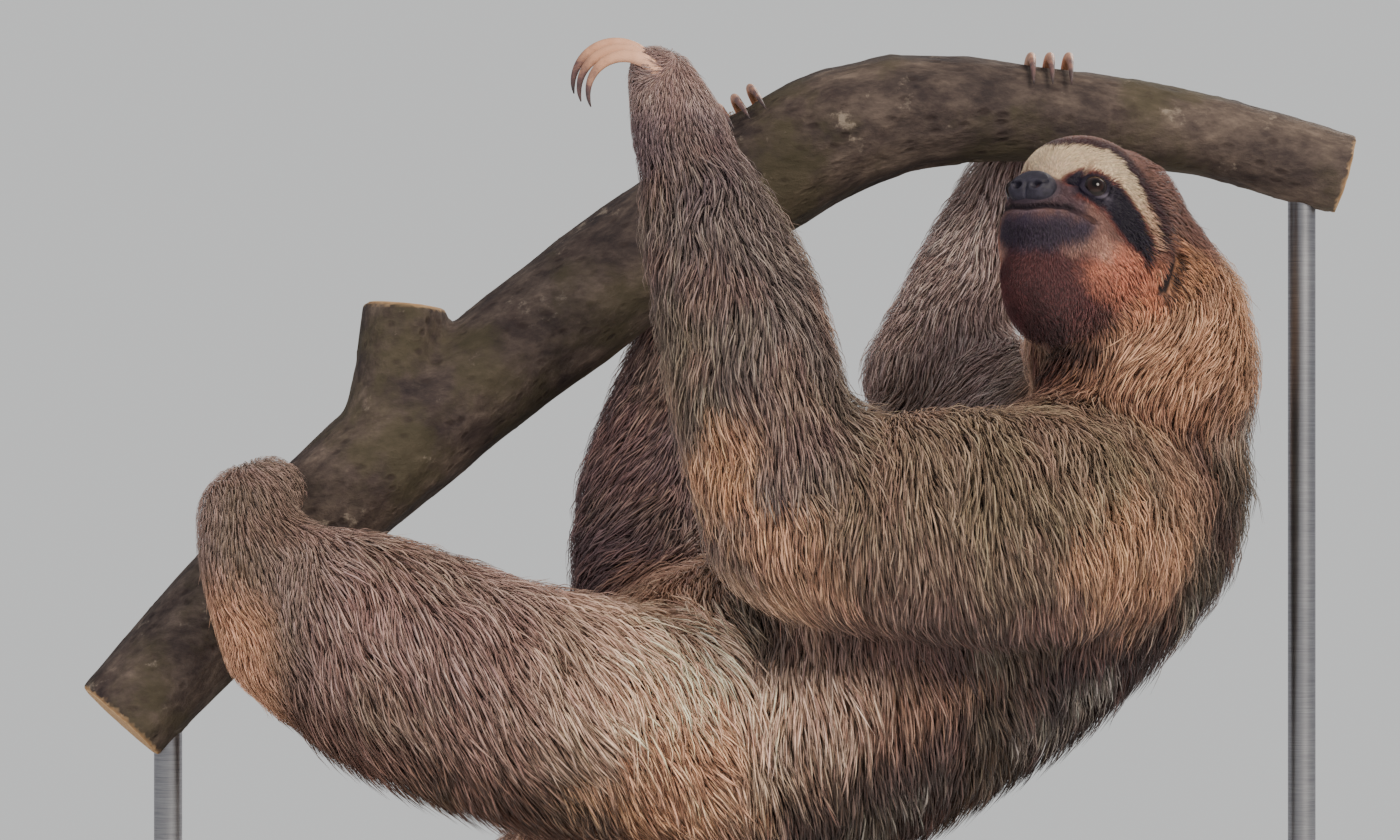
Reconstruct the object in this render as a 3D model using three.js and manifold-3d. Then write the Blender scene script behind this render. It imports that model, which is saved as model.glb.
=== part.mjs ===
// A three-toed sloth at life size, slung under a short bough that two rods carry over a flat base.
// Millimetres, +Z up. The origin is the middle of the base's underside. +X runs along the bough
// towards the head, -Y is the side of the animal's left arm, and its belly is up.
import * as THREE from "three";
import { mergeVertices } from "three/addons/utils/BufferGeometryUtils.js";
import Module from "manifold-3d";

const wasm = await Module();
wasm.setup();

// Every radius below is to the outside of the coat.
const GAP = 0.4; // between two solids that meet
// Sides of a section.
const ROUND = { trunk: 17, head: 16, ear: 8, eye: 12, limb: 12, claw: 6, bough: 12, rod: 14 };
const RINGS_PER_SPAN = 2; // sections from one joint to the next

// A joint's r is the half width, and deep the half depth where the section isn't round.
const SPINE = [
  { at: [204, -3, 344], r: 58, deep: 56 },
  { at: [188, 0, 302], r: 72, deep: 74 },
  { at: [130, 0, 258], r: 80, deep: 87 },
  { at: [60, 0, 214], r: 82, deep: 90 },
  { at: [-14, 0, 184], r: 80, deep: 91 },
  { at: [-56, 0, 166], r: 58, deep: 64 },
];
const NECK = [
  { at: [182, -36, 418], r: 49 },
  { at: [196, -24, 386], r: 60 },
  { at: [204, -6, 350], r: 58 },
];
const TAIL = [
  { at: [-96, 0, 136], r: 16 },
  { at: [-124, 0, 114], r: 10 },
];

// The head looks up and past the left arm. Its axes are forward, left and up from the middle of the skull.
const HEAD = { at: [170.5, -49.5, 427.5], turn: 38, tilt: 33 };
const HEAD_FORMS = [
  { at: [-6, 0, 8], half: [46, 46, 48] }, // crown and nape
  { at: [20, 0, 19], half: [27, 34, 27] }, // brow
  { at: [10, 0, -4], half: [36, 40, 38] }, // cheeks
  { at: [24, 0, -10], half: [31, 27, 21] }, // muzzle
  { at: [9, 0, -28], half: [34, 31, 33] }, // jaw and throat
];
const NOSE = { at: [53, 0, -4], half: [7, 12.5, 9] };
const EYE = { at: [36, 21.5, 7.5], r: 6.4 };
const EAR = { at: [-17, 45, -6], half: [9, 5, 12] };

const ARM_LEFT = [
  [
    { at: [176, -44, 298], r: 58, deep: 64 },
    { at: [148, -82, 292], r: 56, deep: 64 },
    { at: [90, -100, 294], r: 52, deep: 61 },
    { at: [27, -106, 293], r: 50, deep: 51 },
  ],
  [
    { at: [20, -107, 306], r: 46 },
    { at: [8, -108, 350], r: 46 },
    { at: [-3, -105, 398], r: 43 },
    { at: [-17, -98, 437], r: 36 },
    { at: [-29, -91, 477], r: 26 },
    { at: [-39, -87, 506], r: 18 },
  ],
];
const ARM_RIGHT = [
  [
    { at: [168, 40, 325], r: 48 },
    { at: [134, 74, 343], r: 43 },
    { at: [98, 86, 360], r: 38 },
  ],
  [
    { at: [99, 86, 366], r: 35 },
    { at: [116, 92, 409], r: 31 },
    { at: [135, 93, 455], r: 25 },
    { at: [151, 88, 491], r: 19 },
    { at: [157, 75, 508], r: 13 },
  ],
];
const LEG_LEFT = [
  [
    { at: [0, -12, 184], r: 48, deep: 62 },
    { at: [-78, -68, 198], r: 58, deep: 66 },
    { at: [-134, -84, 212], r: 52, deep: 64 },
    { at: [-176, -82, 230], r: 46, deep: 62 },
    { at: [-207, -78, 243], r: 37, deep: 56 },
    { at: [-229, -75, 251], r: 23, deep: 44 },
  ],
  [
    { at: [-230, -70, 226], r: 24 },
    { at: [-236, -74, 262], r: 28 },
    { at: [-241, -66, 295], r: 27 },
    { at: [-233, -46, 305], r: 21 },
  ],
];
const LEG_RIGHT = [
  [
    { at: [-18, 36, 196], r: 56 },
    { at: [-42, 62, 250], r: 47 },
    { at: [-50, 75, 298], r: 38 },
    { at: [-38, 81, 350], r: 30 },
    { at: [-22, 84, 402], r: 25 },
    { at: [-12, 84, 442], r: 21 },
    { at: [-6, 80, 474], r: 19 },
    { at: [-3, 70, 488], r: 15 },
  ],
];

// Where the body is parted: a thin cut through the point, with the next part on the side that it faces.
const PARTINGS = {
  neck: { at: [205, -5, 352], faces: [0.15, -0.3, 0.94] },
  head: { at: [193, -44, 410], faces: [-0.35, -0.45, 0.82] },
  forearm_left: { at: [27, -106, 303], faces: [-0.83, 0, 0.55] },
  hand_left: { at: [-27, -92, 472], faces: [-0.3, 0.15, 0.94] },
  forearm_right: { at: [99, 86, 362], faces: [-0.2, 0, 0.98] },
  hand_right: { at: [147, 90, 482], faces: [0.35, -0.1, 0.93] },
  shank_left: { at: [-134, -84, 212], faces: [-0.92, 0, 0.38] },
  foot_left: { at: [-211, -78, 252], faces: [-0.97, 0, 0.25] },
  shank_right: { at: [-49, 75, 300], faces: [0, 0.1, 0.99] },
  foot_right: { at: [-22, 84, 402], faces: [0.28, 0, 0.96] },
};

// The bough, from the sawn end by the left foot to the sawn end past the head, and the stub of a side limb.
const BOUGH = [
  { at: [-307, -26, 190], r: 27 },
  { at: [-253, -14, 250], r: 29 },
  { at: [-190, 4, 311], r: 31 },
  { at: [-111, 22, 376], r: 32 },
  { at: [-25, 30, 440], r: 33 },
  { at: [28, 32, 475], r: 34 },
  { at: [81, 33, 495], r: 31 },
  { at: [157, 35, 494], r: 25 },
  { at: [233, 40, 485], r: 22 },
  { at: [307, 42, 464], r: 22 },
];
const STUB = [
  { at: [-180, 6, 321], r: 25 },
  { at: [-172, 8, 356], r: 23 },
  { at: [-168, 10, 398], r: 22 },
];

const CLAW = { root: 3.4, tip: 0.8, deeper: 1.35, rings: 6 };
// Three claws to a hand or foot. turns are the angles, about the middle, from the root to the tip of each.
const HOOKS = {
  hand_left: { about: [-59, -87, 499], side: [1, 0, 0], r: 20, turns: [48, 198], apart: [1, -9.5, -2] },
  hand_right: { about: [157, 35, 494], side: [0, 1, 0], r: 29, turns: [32, 150], apart: [9.5, 0, 0] },
  foot_left: { about: [-222, -6, 280], side: [0, -1, 0], r: 35, turns: [35, 140], apart: [6.5, 2, 6.5] },
  foot_right: { about: [18, 32, 470], side: [0, 1, 0], r: 38, turns: [34, 140], apart: [8, 0, 5] },
};

const BASE = { long: 660, wide: 290, thick: 18, corner: 40, bevel: 3 };
const ROD = { r: 7, collar: 20, collarThick: 5 };
// The middle of each rod at its top, which is inside the bough that cuts it off.
const ROD_PLACES = { stand_rod_left: [-284, -22, 214], stand_rod_right: [285, 41.5, 468] };

const matte = (color, roughness = 0.9) =>
  new THREE.MeshStandardMaterial({ color, roughness, metalness: 0 });
const MATERIALS = {
  coat: matte(0x80705d),
  limbCoat: matte(0x8a7666),
  nose: matte(0x2b2a30, 0.45),
  eye: matte(0x140f0d, 0.1),
  claw: matte(0xcdb092, 0.5),
  bark: matte(0x6a5b4b),
  base: matte(0x4b392a, 0.5),
  rod: new THREE.MeshStandardMaterial({ color: 0x9a9c9e, roughness: 0.35, metalness: 1 }),
};

const LEFTWARD = new THREE.Vector3(0, 1, 0);
const vector = (at) => new THREE.Vector3(...at);
const lerp = THREE.MathUtils.lerp;

// Bends a shape that stands on its own Y axis from -1 to 1 along the joints, as wide at each as its radius.
// What lies past either end becomes a round cap. The half width lies as near to `across` as it can.
function bend(shape, joints, grow, across = LEFTWARD) {
  const run = new THREE.CatmullRomCurve3(joints.map(({ at }) => vector(at)), false, "centripetal");
  const size = new THREE.CatmullRomCurve3(joints.map(({ r, deep = r }) => new THREE.Vector3(r, deep, 0)));
  const place = shape.getAttribute("position");
  const v = new THREE.Vector3();
  for (let i = 0; i < place.count; i++) {
    v.fromBufferAttribute(place, i);
    const u = THREE.MathUtils.clamp((v.y + 1) / 2, 0, 1);
    const past = v.y - (2 * u - 1);
    const ahead = run.getTangent(u);
    const side = across.clone().addScaledVector(ahead, -ahead.dot(across)).normalize();
    const deepward = side.clone().cross(ahead);
    const half = size.getPoint(u).addScalar(grow);
    const at = run.getPoint(u);
    at.addScaledVector(side, v.x * half.x).addScaledVector(deepward, v.z * half.y);
    at.addScaledVector(ahead, past * half.x);
    place.setXYZ(i, at.x, at.y, at.z);
  }
  return shape;
}

const ringsOf = (joints, each = RINGS_PER_SPAN) => (joints.length - 1) * each;

// A limb, neck or trunk: closed, with round ends.
function fleshy(joints, sides, grow) {
  return bend(new THREE.CapsuleGeometry(1, 2, 3, sides, ringsOf(joints)), joints, grow);
}

// A sawn length of wood, with flat ends.
function sawn(joints, grow) {
  return bend(new THREE.CylinderGeometry(1, 1, 2, ROUND.bough, ringsOf(joints)), joints, grow);
}

function ellipsoid({ at, half }, grow, sides) {
  const shape = new THREE.SphereGeometry(1, sides, Math.round(sides * 0.6));
  return shape.scale(...half.map((h) => h + grow)).translate(...at);
}

// The head's own axes as columns: forward, left and up.
function headPlace() {
  const turn = THREE.MathUtils.degToRad(HEAD.turn);
  const tilt = THREE.MathUtils.degToRad(HEAD.tilt);
  const level = Math.cos(tilt);
  const forward = vector([-level * Math.sin(turn), -level * Math.cos(turn), Math.sin(tilt)]);
  const left = vector([Math.cos(turn), -Math.sin(turn), 0]);
  const up = forward.clone().cross(left);
  return new THREE.Matrix4().makeBasis(forward, left, up).setPosition(...HEAD.at);
}

const onHead = (shape) => shape.applyMatrix4(headPlace());
const mirrored = ({ at: [forward, left, up], half }) => ({ at: [forward, -left, up], half });

// One claw of three: an arc about the hook's middle, tapering to its tip. number is -1, 0 or 1.
function claw({ about, side, r, turns, apart }, number, grow) {
  const toSide = vector(side);
  const along = vector(apart).normalize();
  const over = toSide.clone().cross(along).normalize();
  if (over.z < 0) over.negate();
  const joints = Array.from({ length: CLAW.rings }, (_, i) => {
    const share = i / (CLAW.rings - 1);
    const angle = THREE.MathUtils.degToRad(lerp(...turns, share));
    const at = vector(about).addScaledVector(vector(apart), number);
    at.addScaledVector(toSide, Math.cos(angle) * r).addScaledVector(over, Math.sin(angle) * r);
    const thick = lerp(CLAW.root, CLAW.tip, share ** 1.4);
    return { at: at.toArray(), r: thick, deep: thick * CLAW.deeper };
  });
  return bend(new THREE.CapsuleGeometry(1, 2, 1, ROUND.claw, CLAW.rings - 1), joints, grow, along);
}

// A flat board with round corners and a small bevel all round, its underside at Z 0.
function baseBoard() {
  const { long, wide, thick, corner, bevel } = BASE;
  const [x, y] = [long / 2 - bevel, wide / 2 - bevel];
  const outline = new THREE.Shape().moveTo(-x + corner, -y);
  outline.lineTo(x - corner, -y).absarc(x - corner, -y + corner, corner, -Math.PI / 2, 0);
  outline.lineTo(x, y - corner).absarc(x - corner, y - corner, corner, 0, Math.PI / 2);
  outline.lineTo(-x + corner, y).absarc(-x + corner, y - corner, corner, Math.PI / 2, Math.PI);
  outline.lineTo(-x, -y + corner).absarc(-x + corner, -y + corner, corner, Math.PI, 1.5 * Math.PI);
  const settings = { depth: thick - 2 * bevel, bevelThickness: bevel, bevelSize: bevel, bevelSegments: 1 };
  return new THREE.ExtrudeGeometry(outline, { ...settings, curveSegments: 4 }).translate(0, 0, bevel);
}

// An upright rod with a round collar at its foot.
function rod([x, y, top], grow = 0) {
  const { r, collar, collarThick } = ROD;
  const foot = BASE.thick + GAP;
  const profile = [
    [0, foot],
    [collar, foot],
    [collar, foot + collarThick],
    [r + grow, foot + collarThick],
    [r + grow, top],
    [0, top],
  ].map((p) => new THREE.Vector2(...p));
  return new THREE.LatheGeometry(profile, ROUND.rod).rotateX(Math.PI / 2).translate(x, y, 0);
}

function solidOf(shape) {
  const bare = shape.clone();
  bare.deleteAttribute("normal");
  bare.deleteAttribute("uv");
  const merged = mergeVertices(bare, 1e-3);
  const triVerts = new Uint32Array(merged.index.array);
  const vertProperties = merged.getAttribute("position").array;
  return new wasm.Manifold(new wasm.Mesh({ numProp: 3, vertProperties, triVerts }));
}

function shapeOf(solid) {
  const { vertProperties, triVerts } = solid.getMesh();
  const shape = new THREE.BufferGeometry();
  shape.setAttribute("position", new THREE.BufferAttribute(vertProperties, 3));
  shape.setIndex(new THREE.BufferAttribute(triVerts, 1));
  shape.computeVertexNormals();
  return shape;
}

const joined = (solids) => solids.reduce((whole, solid) => whole.add(solid));
const largest = (solid) => solid.decompose().sort((a, b) => b.volume() - a.volume())[0];

const sloth = new THREE.Group();
const placed = []; // what is already there, each a gap larger all round

function add(name, material, solid) {
  const mesh = new THREE.Mesh(shapeOf(largest(solid)), MATERIALS[material]);
  mesh.name = name;
  sloth.add(mesh);
}

// Adds a run of parts that are one body parted by thin cuts, from the root outwards. make(grow) gives the
// whole body, larger by grow; what is already placed is cut out of it.
function place(names, material, make) {
  let rest = placed.reduce((solid, other) => solid.subtract(other), make(0));
  names.forEach((name, i) => {
    const parting = PARTINGS[names[i + 1]];
    if (!parting) return add(name, material, rest);
    const faces = vector(parting.faces).normalize();
    const offset = faces.dot(vector(parting.at));
    add(name, material, rest.trimByPlane(faces.clone().negate().toArray(), GAP / 2 - offset));
    rest = rest.trimByPlane(faces.toArray(), GAP / 2 + offset);
  });
  placed.push(make(GAP).add(make(0)));
}

// What is hard comes first, so that the flesh is cut to fit it.
for (const [limb, hook] of Object.entries(HOOKS)) {
  [-1, 0, 1].forEach((number, i) =>
    place([`claw_${limb}_${i + 1}`], "claw", (grow) => solidOf(claw(hook, number, grow))),
  );
}
const ball = { at: EYE.at, half: [EYE.r, EYE.r, EYE.r] };
place(["eye_left"], "eye", (grow) => solidOf(onHead(ellipsoid(ball, grow, ROUND.eye))));
place(["eye_right"], "eye", (grow) => solidOf(onHead(ellipsoid(mirrored(ball), grow, ROUND.eye))));
place(["nose"], "nose", (grow) => solidOf(onHead(ellipsoid(NOSE, grow, ROUND.eye))));
place(["ear_left"], "coat", (grow) => solidOf(onHead(ellipsoid(EAR, grow, ROUND.ear))));
place(["ear_right"], "coat", (grow) => solidOf(onHead(ellipsoid(mirrored(EAR), grow, ROUND.ear))));

place(["perch_bough"], "bark", (grow) => solidOf(sawn(BOUGH, grow)).add(solidOf(sawn(STUB, grow))));
place(["stand_base"], "base", () => solidOf(baseBoard()));
for (const [name, at] of Object.entries(ROD_PLACES)) {
  place([name], "rod", (grow) => solidOf(rod(at, grow)));
}

const limb = (runs, grow, sides = ROUND.limb) => joined(runs.map((run) => solidOf(fleshy(run, sides, grow))));
const headForms = (grow) => HEAD_FORMS.map((form) => solidOf(onHead(ellipsoid(form, grow, ROUND.head))));
const core = (grow) => joined([limb([SPINE, NECK], grow, ROUND.trunk), ...headForms(grow)]);
place(["trunk", "neck", "head"], "coat", core);
place(["tail"], "coat", (grow) => limb([TAIL], grow, ROUND.ear));
place(["upper_arm_left", "forearm_left", "hand_left"], "limbCoat", (grow) => limb(ARM_LEFT, grow));
place(["upper_arm_right", "forearm_right", "hand_right"], "limbCoat", (grow) => limb(ARM_RIGHT, grow));
place(["thigh_left", "shank_left", "foot_left"], "limbCoat", (grow) => limb(LEG_LEFT, grow));
place(["thigh_right", "shank_right", "foot_right"], "limbCoat", (grow) => limb(LEG_RIGHT, grow));

export default sloth;
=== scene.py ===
"""A three-toed sloth at life size, slung belly up under a cut bough that two rods carry over a board.

Metres, +Z up. +X runs along the bough towards the head, and -Y is the side of the animal's left arm.
Sizes of the animal are named in millimetres and become metres as a piece is made.
"""

from __future__ import annotations

import logging
import math
from dataclasses import dataclass, field
from enum import Enum
from itertools import product
from typing import Any, Callable, Sequence

import bpy
import numpy as np
from mathutils import Matrix, Vector
from mathutils.bvhtree import BVHTree


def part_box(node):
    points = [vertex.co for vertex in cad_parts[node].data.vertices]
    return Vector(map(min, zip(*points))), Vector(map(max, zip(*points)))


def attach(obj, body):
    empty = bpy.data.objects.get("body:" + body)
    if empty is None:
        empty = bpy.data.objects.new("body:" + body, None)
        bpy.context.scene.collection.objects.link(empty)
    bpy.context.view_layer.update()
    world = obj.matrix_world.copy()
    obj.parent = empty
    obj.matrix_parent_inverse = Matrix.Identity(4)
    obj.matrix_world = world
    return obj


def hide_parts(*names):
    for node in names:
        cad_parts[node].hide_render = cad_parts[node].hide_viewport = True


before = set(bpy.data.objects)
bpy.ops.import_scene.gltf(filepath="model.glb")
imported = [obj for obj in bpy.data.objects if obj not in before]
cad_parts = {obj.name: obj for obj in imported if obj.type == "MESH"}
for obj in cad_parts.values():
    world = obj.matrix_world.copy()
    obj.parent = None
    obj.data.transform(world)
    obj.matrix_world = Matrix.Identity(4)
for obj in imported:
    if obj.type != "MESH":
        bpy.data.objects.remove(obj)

log = logging.getLogger("sloth")
Array = np.ndarray
Piece = bpy.types.Object
Material = bpy.types.Material
Triple = tuple[float, float, float]

MM = 0.001
SEED = 4726
DOWN = np.array([0.0, 0.0, -1.0])
PRIMES = (73856093, 19349663, 83492791)  # they scatter the cells of grain

LIMBS = ("upper_arm", "forearm", "hand", "thigh", "shank", "foot")
FLESH = ["trunk", "neck", "head", "tail", "ear_left", "ear_right"]
FLESH += [f"{limb}_{side}" for limb in LIMBS for side in ("left", "right")]
HEAD_PARTS = ("head", "ear_left", "ear_right")
TRUNK_PARTS = ("trunk", "neck", "tail")


class Side(Enum):
    """The animal's two sides, as the sign of its left direction. The rods are named after them too."""

    LEFT = 1
    RIGHT = -1

    @property
    def word(self) -> str:
        """The side as it stands in names."""
        return self.name.lower()


def unit(v: Array) -> Array:
    """Vectors of length one, along the last axis."""
    return v / np.maximum(np.linalg.norm(v, axis=-1, keepdims=True), 1e-9)


def ease(low: float, high: float, x: Array) -> Array:
    """A smooth step from 0 at low to 1 at high."""
    t = np.clip((x - low) / (high - low), 0, 1)
    return t * t * (3 - 2 * t)


def linear(colour: Triple) -> Array:
    """A colour given as 0 to 255 on a screen, as the light it stands for."""
    c = np.asarray(colour, float) / 255
    return np.where(c <= 0.04045, c / 12.92, ((c + 0.055) / 1.055) ** 2.4)


def paint(base: Array, mask: Array, colour: Triple) -> Array:
    """Lays a colour over base where mask is 1."""
    return base + (linear(colour) - base) * mask[:, None]


def grain(points: Array, size: float, seed: int = 0) -> Array:
    """Smooth random values over space.

    Args:
        points: Places, n by 3.
        size: How far apart the random values lie.
        seed: Another seed gives another pattern.

    Returns:
        A value from 0 to 1 for each place.
    """
    q = points / size
    low = np.floor(q).astype(np.int64)
    t = q - low
    t = t * t * (3 - 2 * t)
    total = np.zeros(len(points))
    for corner in product((0, 1), repeat=3):
        x, y, z = (low + np.array(corner)).T * np.array(PRIMES)[:, None]
        mixed = x ^ y ^ z ^ (seed * 2654435)
        mixed = ((mixed ^ (mixed >> 13)) * 1274126177) & 0xFFFFFFFF
        weight = np.prod(np.where(np.array(corner, bool), t, 1 - t), axis=1)
        total += weight * ((mixed ^ (mixed >> 16)) & 0xFFFF) / 65535
    return total


class HeadAxes:
    """The head's own axes, in millimetres from the middle of the skull: forward, left and up."""

    at = np.array([170.5, -49.5, 427.5])
    turn = math.radians(38)
    tilt = math.radians(33)

    def __init__(self) -> None:
        """Works out the three directions."""
        level = math.cos(self.tilt)
        forward = np.array([-level * math.sin(self.turn), -level * math.cos(self.turn), math.sin(self.tilt)])
        left = np.array([math.cos(self.turn), -math.sin(self.turn), 0.0])
        self.axes = np.stack([forward, left, np.cross(forward, left)])

    def inward(self, world: Array) -> Array:
        """World millimetres as forward, left and up."""
        return (world - self.at) @ self.axes.T

    def outward(self, own: Array) -> Array:
        """Forward, left and up as world millimetres."""
        return np.asarray(own, float) @ self.axes + self.at

    def direction(self, own: Triple) -> Array:
        """A direction in the head's axes as one in the world."""
        return unit(np.asarray(own, float) @ self.axes)


HEAD = HeadAxes()


@dataclass(frozen=True)
class Ball:
    """An ellipsoid, in the axes it is used in."""

    at: Triple
    half: Triple

    def distance(self, p: Array) -> Array:
        """About how far each place lies outside it.

        Args:
            p: Places, n by 3.

        Returns:
            The distances.
        """
        q = p - np.array(self.at)
        half = np.array(self.half)
        near = np.linalg.norm(q / half, axis=1)
        slope = np.linalg.norm(q / half**2, axis=1)
        return near * (near - 1) / np.maximum(slope, 1e-9)


@dataclass(frozen=True)
class Chain:
    """A run of round lengths. Each joint is three coordinates and a radius."""

    joints: tuple[tuple[float, float, float, float], ...]

    def distance(self, p: Array) -> Array:
        """How far each place lies outside it.

        Args:
            p: Places, n by 3.

        Returns:
            The distances.
        """
        nearest = np.full(len(p), 1e9)
        rows = np.array(self.joints, float)
        for a, b in zip(rows[:-1], rows[1:]):
            span = b[:3] - a[:3]
            t = np.clip(((p - a[:3]) @ span) / max(span @ span, 1e-9), 0, 1)
            away = np.linalg.norm(p - a[:3] - t[:, None] * span, axis=1) - (a[3] + t * (b[3] - a[3]))
            nearest = np.minimum(nearest, away)
        return nearest


def melt(a: Array, b: Array, soft: float) -> Array:
    """Joins two distances, with a fillet about soft wide."""
    h = np.clip(0.5 + 0.5 * (b - a) / soft, 0, 1)
    return b + (a - b) * h - soft * h * (1 - h)


def settle(p: Array, shape: Callable[[Array], Array], steps: int = 7, stride: float = 2.5) -> Array:
    """Moves places onto the surface where a distance is zero.

    Args:
        p: Places, n by 3.
        shape: Gives about how far a place lies outside the surface.
        steps: How many times each place moves.
        stride: The furthest that it moves each time.

    Returns:
        The places moved.
    """
    p = p.copy()
    reach = 0.15
    for _ in range(steps):
        here = shape(p)
        slope = np.stack(
            [(shape(p + reach * e) - shape(p - reach * e)) / (2 * reach) for e in np.eye(3)], axis=1
        )
        move = -here[:, None] * slope / np.maximum((slope**2).sum(1), 0.2)[:, None]
        length = np.linalg.norm(move, axis=1, keepdims=True)
        p += move * np.minimum(1, stride / np.maximum(length, 1e-9))
    return p


def share_of(weights: Array, parts: Sequence[str]) -> Array:
    """The share of each row that belongs to some of the parts in FLESH."""
    return weights[:, [FLESH.index(part) for part in parts]].sum(1)


def both_sides(own: Array) -> Array:
    """Head coordinates with the right side folded onto the left."""
    return own * np.array([1, 0, 1]) + np.abs(own) * np.array([0, 1, 0])


class Face:
    """The bare head under its coat, in the head's axes and millimetres."""

    eye_at = np.array([35.8, 22.3, 6.2])
    eye_radius = 6.4
    gaze = unit(np.array([0.80, 0.60, -0.02]))
    lid_thick = 1.2
    opening = (4.7, 3.7)  # half the opening between the lids, along and across
    skull = Ball((-6, 0, 8), (39.5, 39, 42))
    brow = Ball((19, 0, 18), (26.5, 32, 25.5))
    cheeks = Ball((10, 0, -4), (34.5, 38, 36))
    orbit = Ball((28, 18, 5.5), (13, 11, 12))
    muzzle = Ball((24, 0, -10), (29.8, 25.8, 20))
    snout = Ball((44.5, 0, -5.0), (13, 14, 10.8))
    jaw = Ball((9, 0, -28), (30.5, 28, 30))
    upper_lip = Chain(((49.5, 0, -12, 3.4), (48, 9.5, -10.5, 3.2), (42.5, 17.5, -8, 2.4)))
    lower_lip = Chain(((47.2, 0, -20, 3.6), (45.2, 10, -18, 3.4), (39.5, 17.5, -15.5, 2.6)))
    ear = Ball((-16, 40, -7), (8, 4.5, 11))
    forms = (  # what is melted onto the skull in turn, and the width of its fillet
        (brow, 8),
        (cheeks, 6),
        (jaw, 6),
        (muzzle, 5),
        (orbit, 4),
        (snout, 4),
        (upper_lip, 2),
        (lower_lip, 2),
        (ear, 4),
    )
    mouth_line = (
        (53, 0, -15.8),
        (51.3, 10.2, -13.8),
        (45.7, 18.7, -11),
        (39, 24.2, -10.4),
        (34, 28.4, -11.6),
    )
    cheek_line = ((40, 26.5, -14), (34, 31.5, -18), (27, 34, -24))
    ear_line = ((-11, 44, 0), (-12.5, 45, -11), (-14.5, 44.5, -22))
    nose_leather = Ball((52.4, 0, -4), (7, 12.4, 8.8))
    nostril = (5.5, -6.2)  # left and up

    def __init__(self) -> None:
        """Works out the opening's directions, and lays the mouth, cheek and ear lines on the surface."""
        self.eye_across = unit(np.cross(self.gaze, np.array([-0.15, 0.1, 1.0])))
        self.eye_up = np.cross(self.eye_across, self.gaze)
        self.mouth = self._laid(self.mouth_line)
        self.cheek_fold = self._laid(self.cheek_line)
        self.ear_slit = self._laid(self.ear_line)

    def _laid(self, line: Sequence[Triple]) -> Chain:
        """A line moved onto the surface, as a chain without thickness."""
        points = settle(np.array(line, float), self.skin)
        return Chain(tuple((*map(float, p), 0.0) for p in points))

    def skin(self, own: Array) -> Array:
        """How far places lie outside the bare head.

        Args:
            own: Places in the head's axes.

        Returns:
            The distances.
        """
        p = both_sides(own)
        shape = self.skull.distance(p)
        for form, fillet in self.forms:
            shape = melt(shape, form.distance(p), fillet)
        ball = np.linalg.norm(p - self.eye_at, axis=1)
        return melt(shape, ball - self.eye_radius - self.lid_thick, 1.5)

    def folds(self, own: Array) -> Array:
        """How deep the mouth, the cheek's fold and the ear's slit go in at each place.

        Args:
            own: Places in the head's axes.

        Returns:
            The depths.
        """
        p = both_sides(own)
        deep = 2.3 * (1 - ease(0.1, 1.9, self.mouth.distance(p)))
        deep += 0.7 * (1 - ease(0.2, 3.0, self.cheek_fold.distance(p)))
        return deep + 3.0 * (1 - ease(0.4, 2.4, self.ear_slit.distance(p)))

    def oval(self, own: Array) -> Array:
        """How far each place lies from the middle of the eye's opening, with its edge at 1.

        Args:
            own: Places in the head's axes.

        Returns:
            The distances, and large values on the far side of the eye.
        """
        from_eye = both_sides(own) - self.eye_at
        away = unit(from_eye)
        along, across = away @ self.eye_across * self.eye_radius, away @ self.eye_up * self.eye_radius
        value = np.sqrt(np.abs(along / self.opening[0]) ** 1.8 + np.abs(across / self.opening[1]) ** 2.1)
        behind = (away @ self.gaze < 0.05) | (np.linalg.norm(from_eye, axis=1) > 15)
        return np.where(behind, 9.0, value)

    def open_lids(self, own: Array) -> Array:
        """Draws the skin round each eye onto the lids, and behind the eyeball inside the opening.

        Args:
            own: Places in the head's axes.

        Returns:
            The places moved.
        """
        p = both_sides(own)
        from_eye = p - self.eye_at
        far = np.linalg.norm(from_eye, axis=1)
        oval = self.oval(own)
        lid = self.eye_radius + 0.12 + self.lid_thick * ease(1.0, 1.3, oval)
        lid -= 0.55 * np.exp(-(((oval - 1.62) / 0.14) ** 2))
        reach = np.where(oval < 1, self.eye_radius - 1.7, lid + (far - lid) * ease(1.35, 2.1, oval))
        moved = self.eye_at + unit(from_eye) * reach[:, None]
        moved = np.where((oval < 8)[:, None], moved, p)
        return moved * np.where(own[:, 1:2] < 0, [[1, -1, 1]], [[1, 1, 1]])

    def nose(self, own: Array) -> Array:
        """How far places lie outside the leather of the nose, before its nostrils.

        Args:
            own: Places in the head's axes.

        Returns:
            The distances.
        """
        p = both_sides(own)
        wing = Ball((53.2, 6.4, -5.8), (5.0, 5.9, 5.6))
        return melt(self.nose_leather.distance(p), wing.distance(p), 2.5)

    def nostrils(self, own: Array) -> Array:
        """Flattens the nose's front and opens the nostrils, with the groove between them.

        Args:
            own: Places on the leather, in the head's axes.

        Returns:
            The places moved.
        """
        p = own.copy()
        front = ease(53.5, 56.5, own[:, 0])
        p[:, 0] = np.where(own[:, 0] > 53, 53 + 6.5 * np.tanh((own[:, 0] - 53) / 5), own[:, 0])
        side, up = np.abs(own[:, 1]) - self.nostril[0], own[:, 2] - self.nostril[1]
        away = np.hypot(side * 0.9, up * 1.15)
        slot = np.hypot(side - np.clip(side, 0, 4.6), up - 0.55 * np.clip(side, 0, 4.6))
        deep = 4.6 * (1 - ease(0.9, 2.5, away)) + 1.3 * (1 - ease(0.3, 1.3, slot)) * (away > 2.0)
        deep -= 0.55 * np.exp(-(((away - 3.3) / 0.9) ** 2))
        deep += 0.9 * (1 - ease(0.2, 1.3, np.abs(own[:, 1]))) * ease(-3.5, -6, own[:, 2])
        return p + np.array([-0.96, 0, 0.28]) * (deep * front)[:, None]

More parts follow.
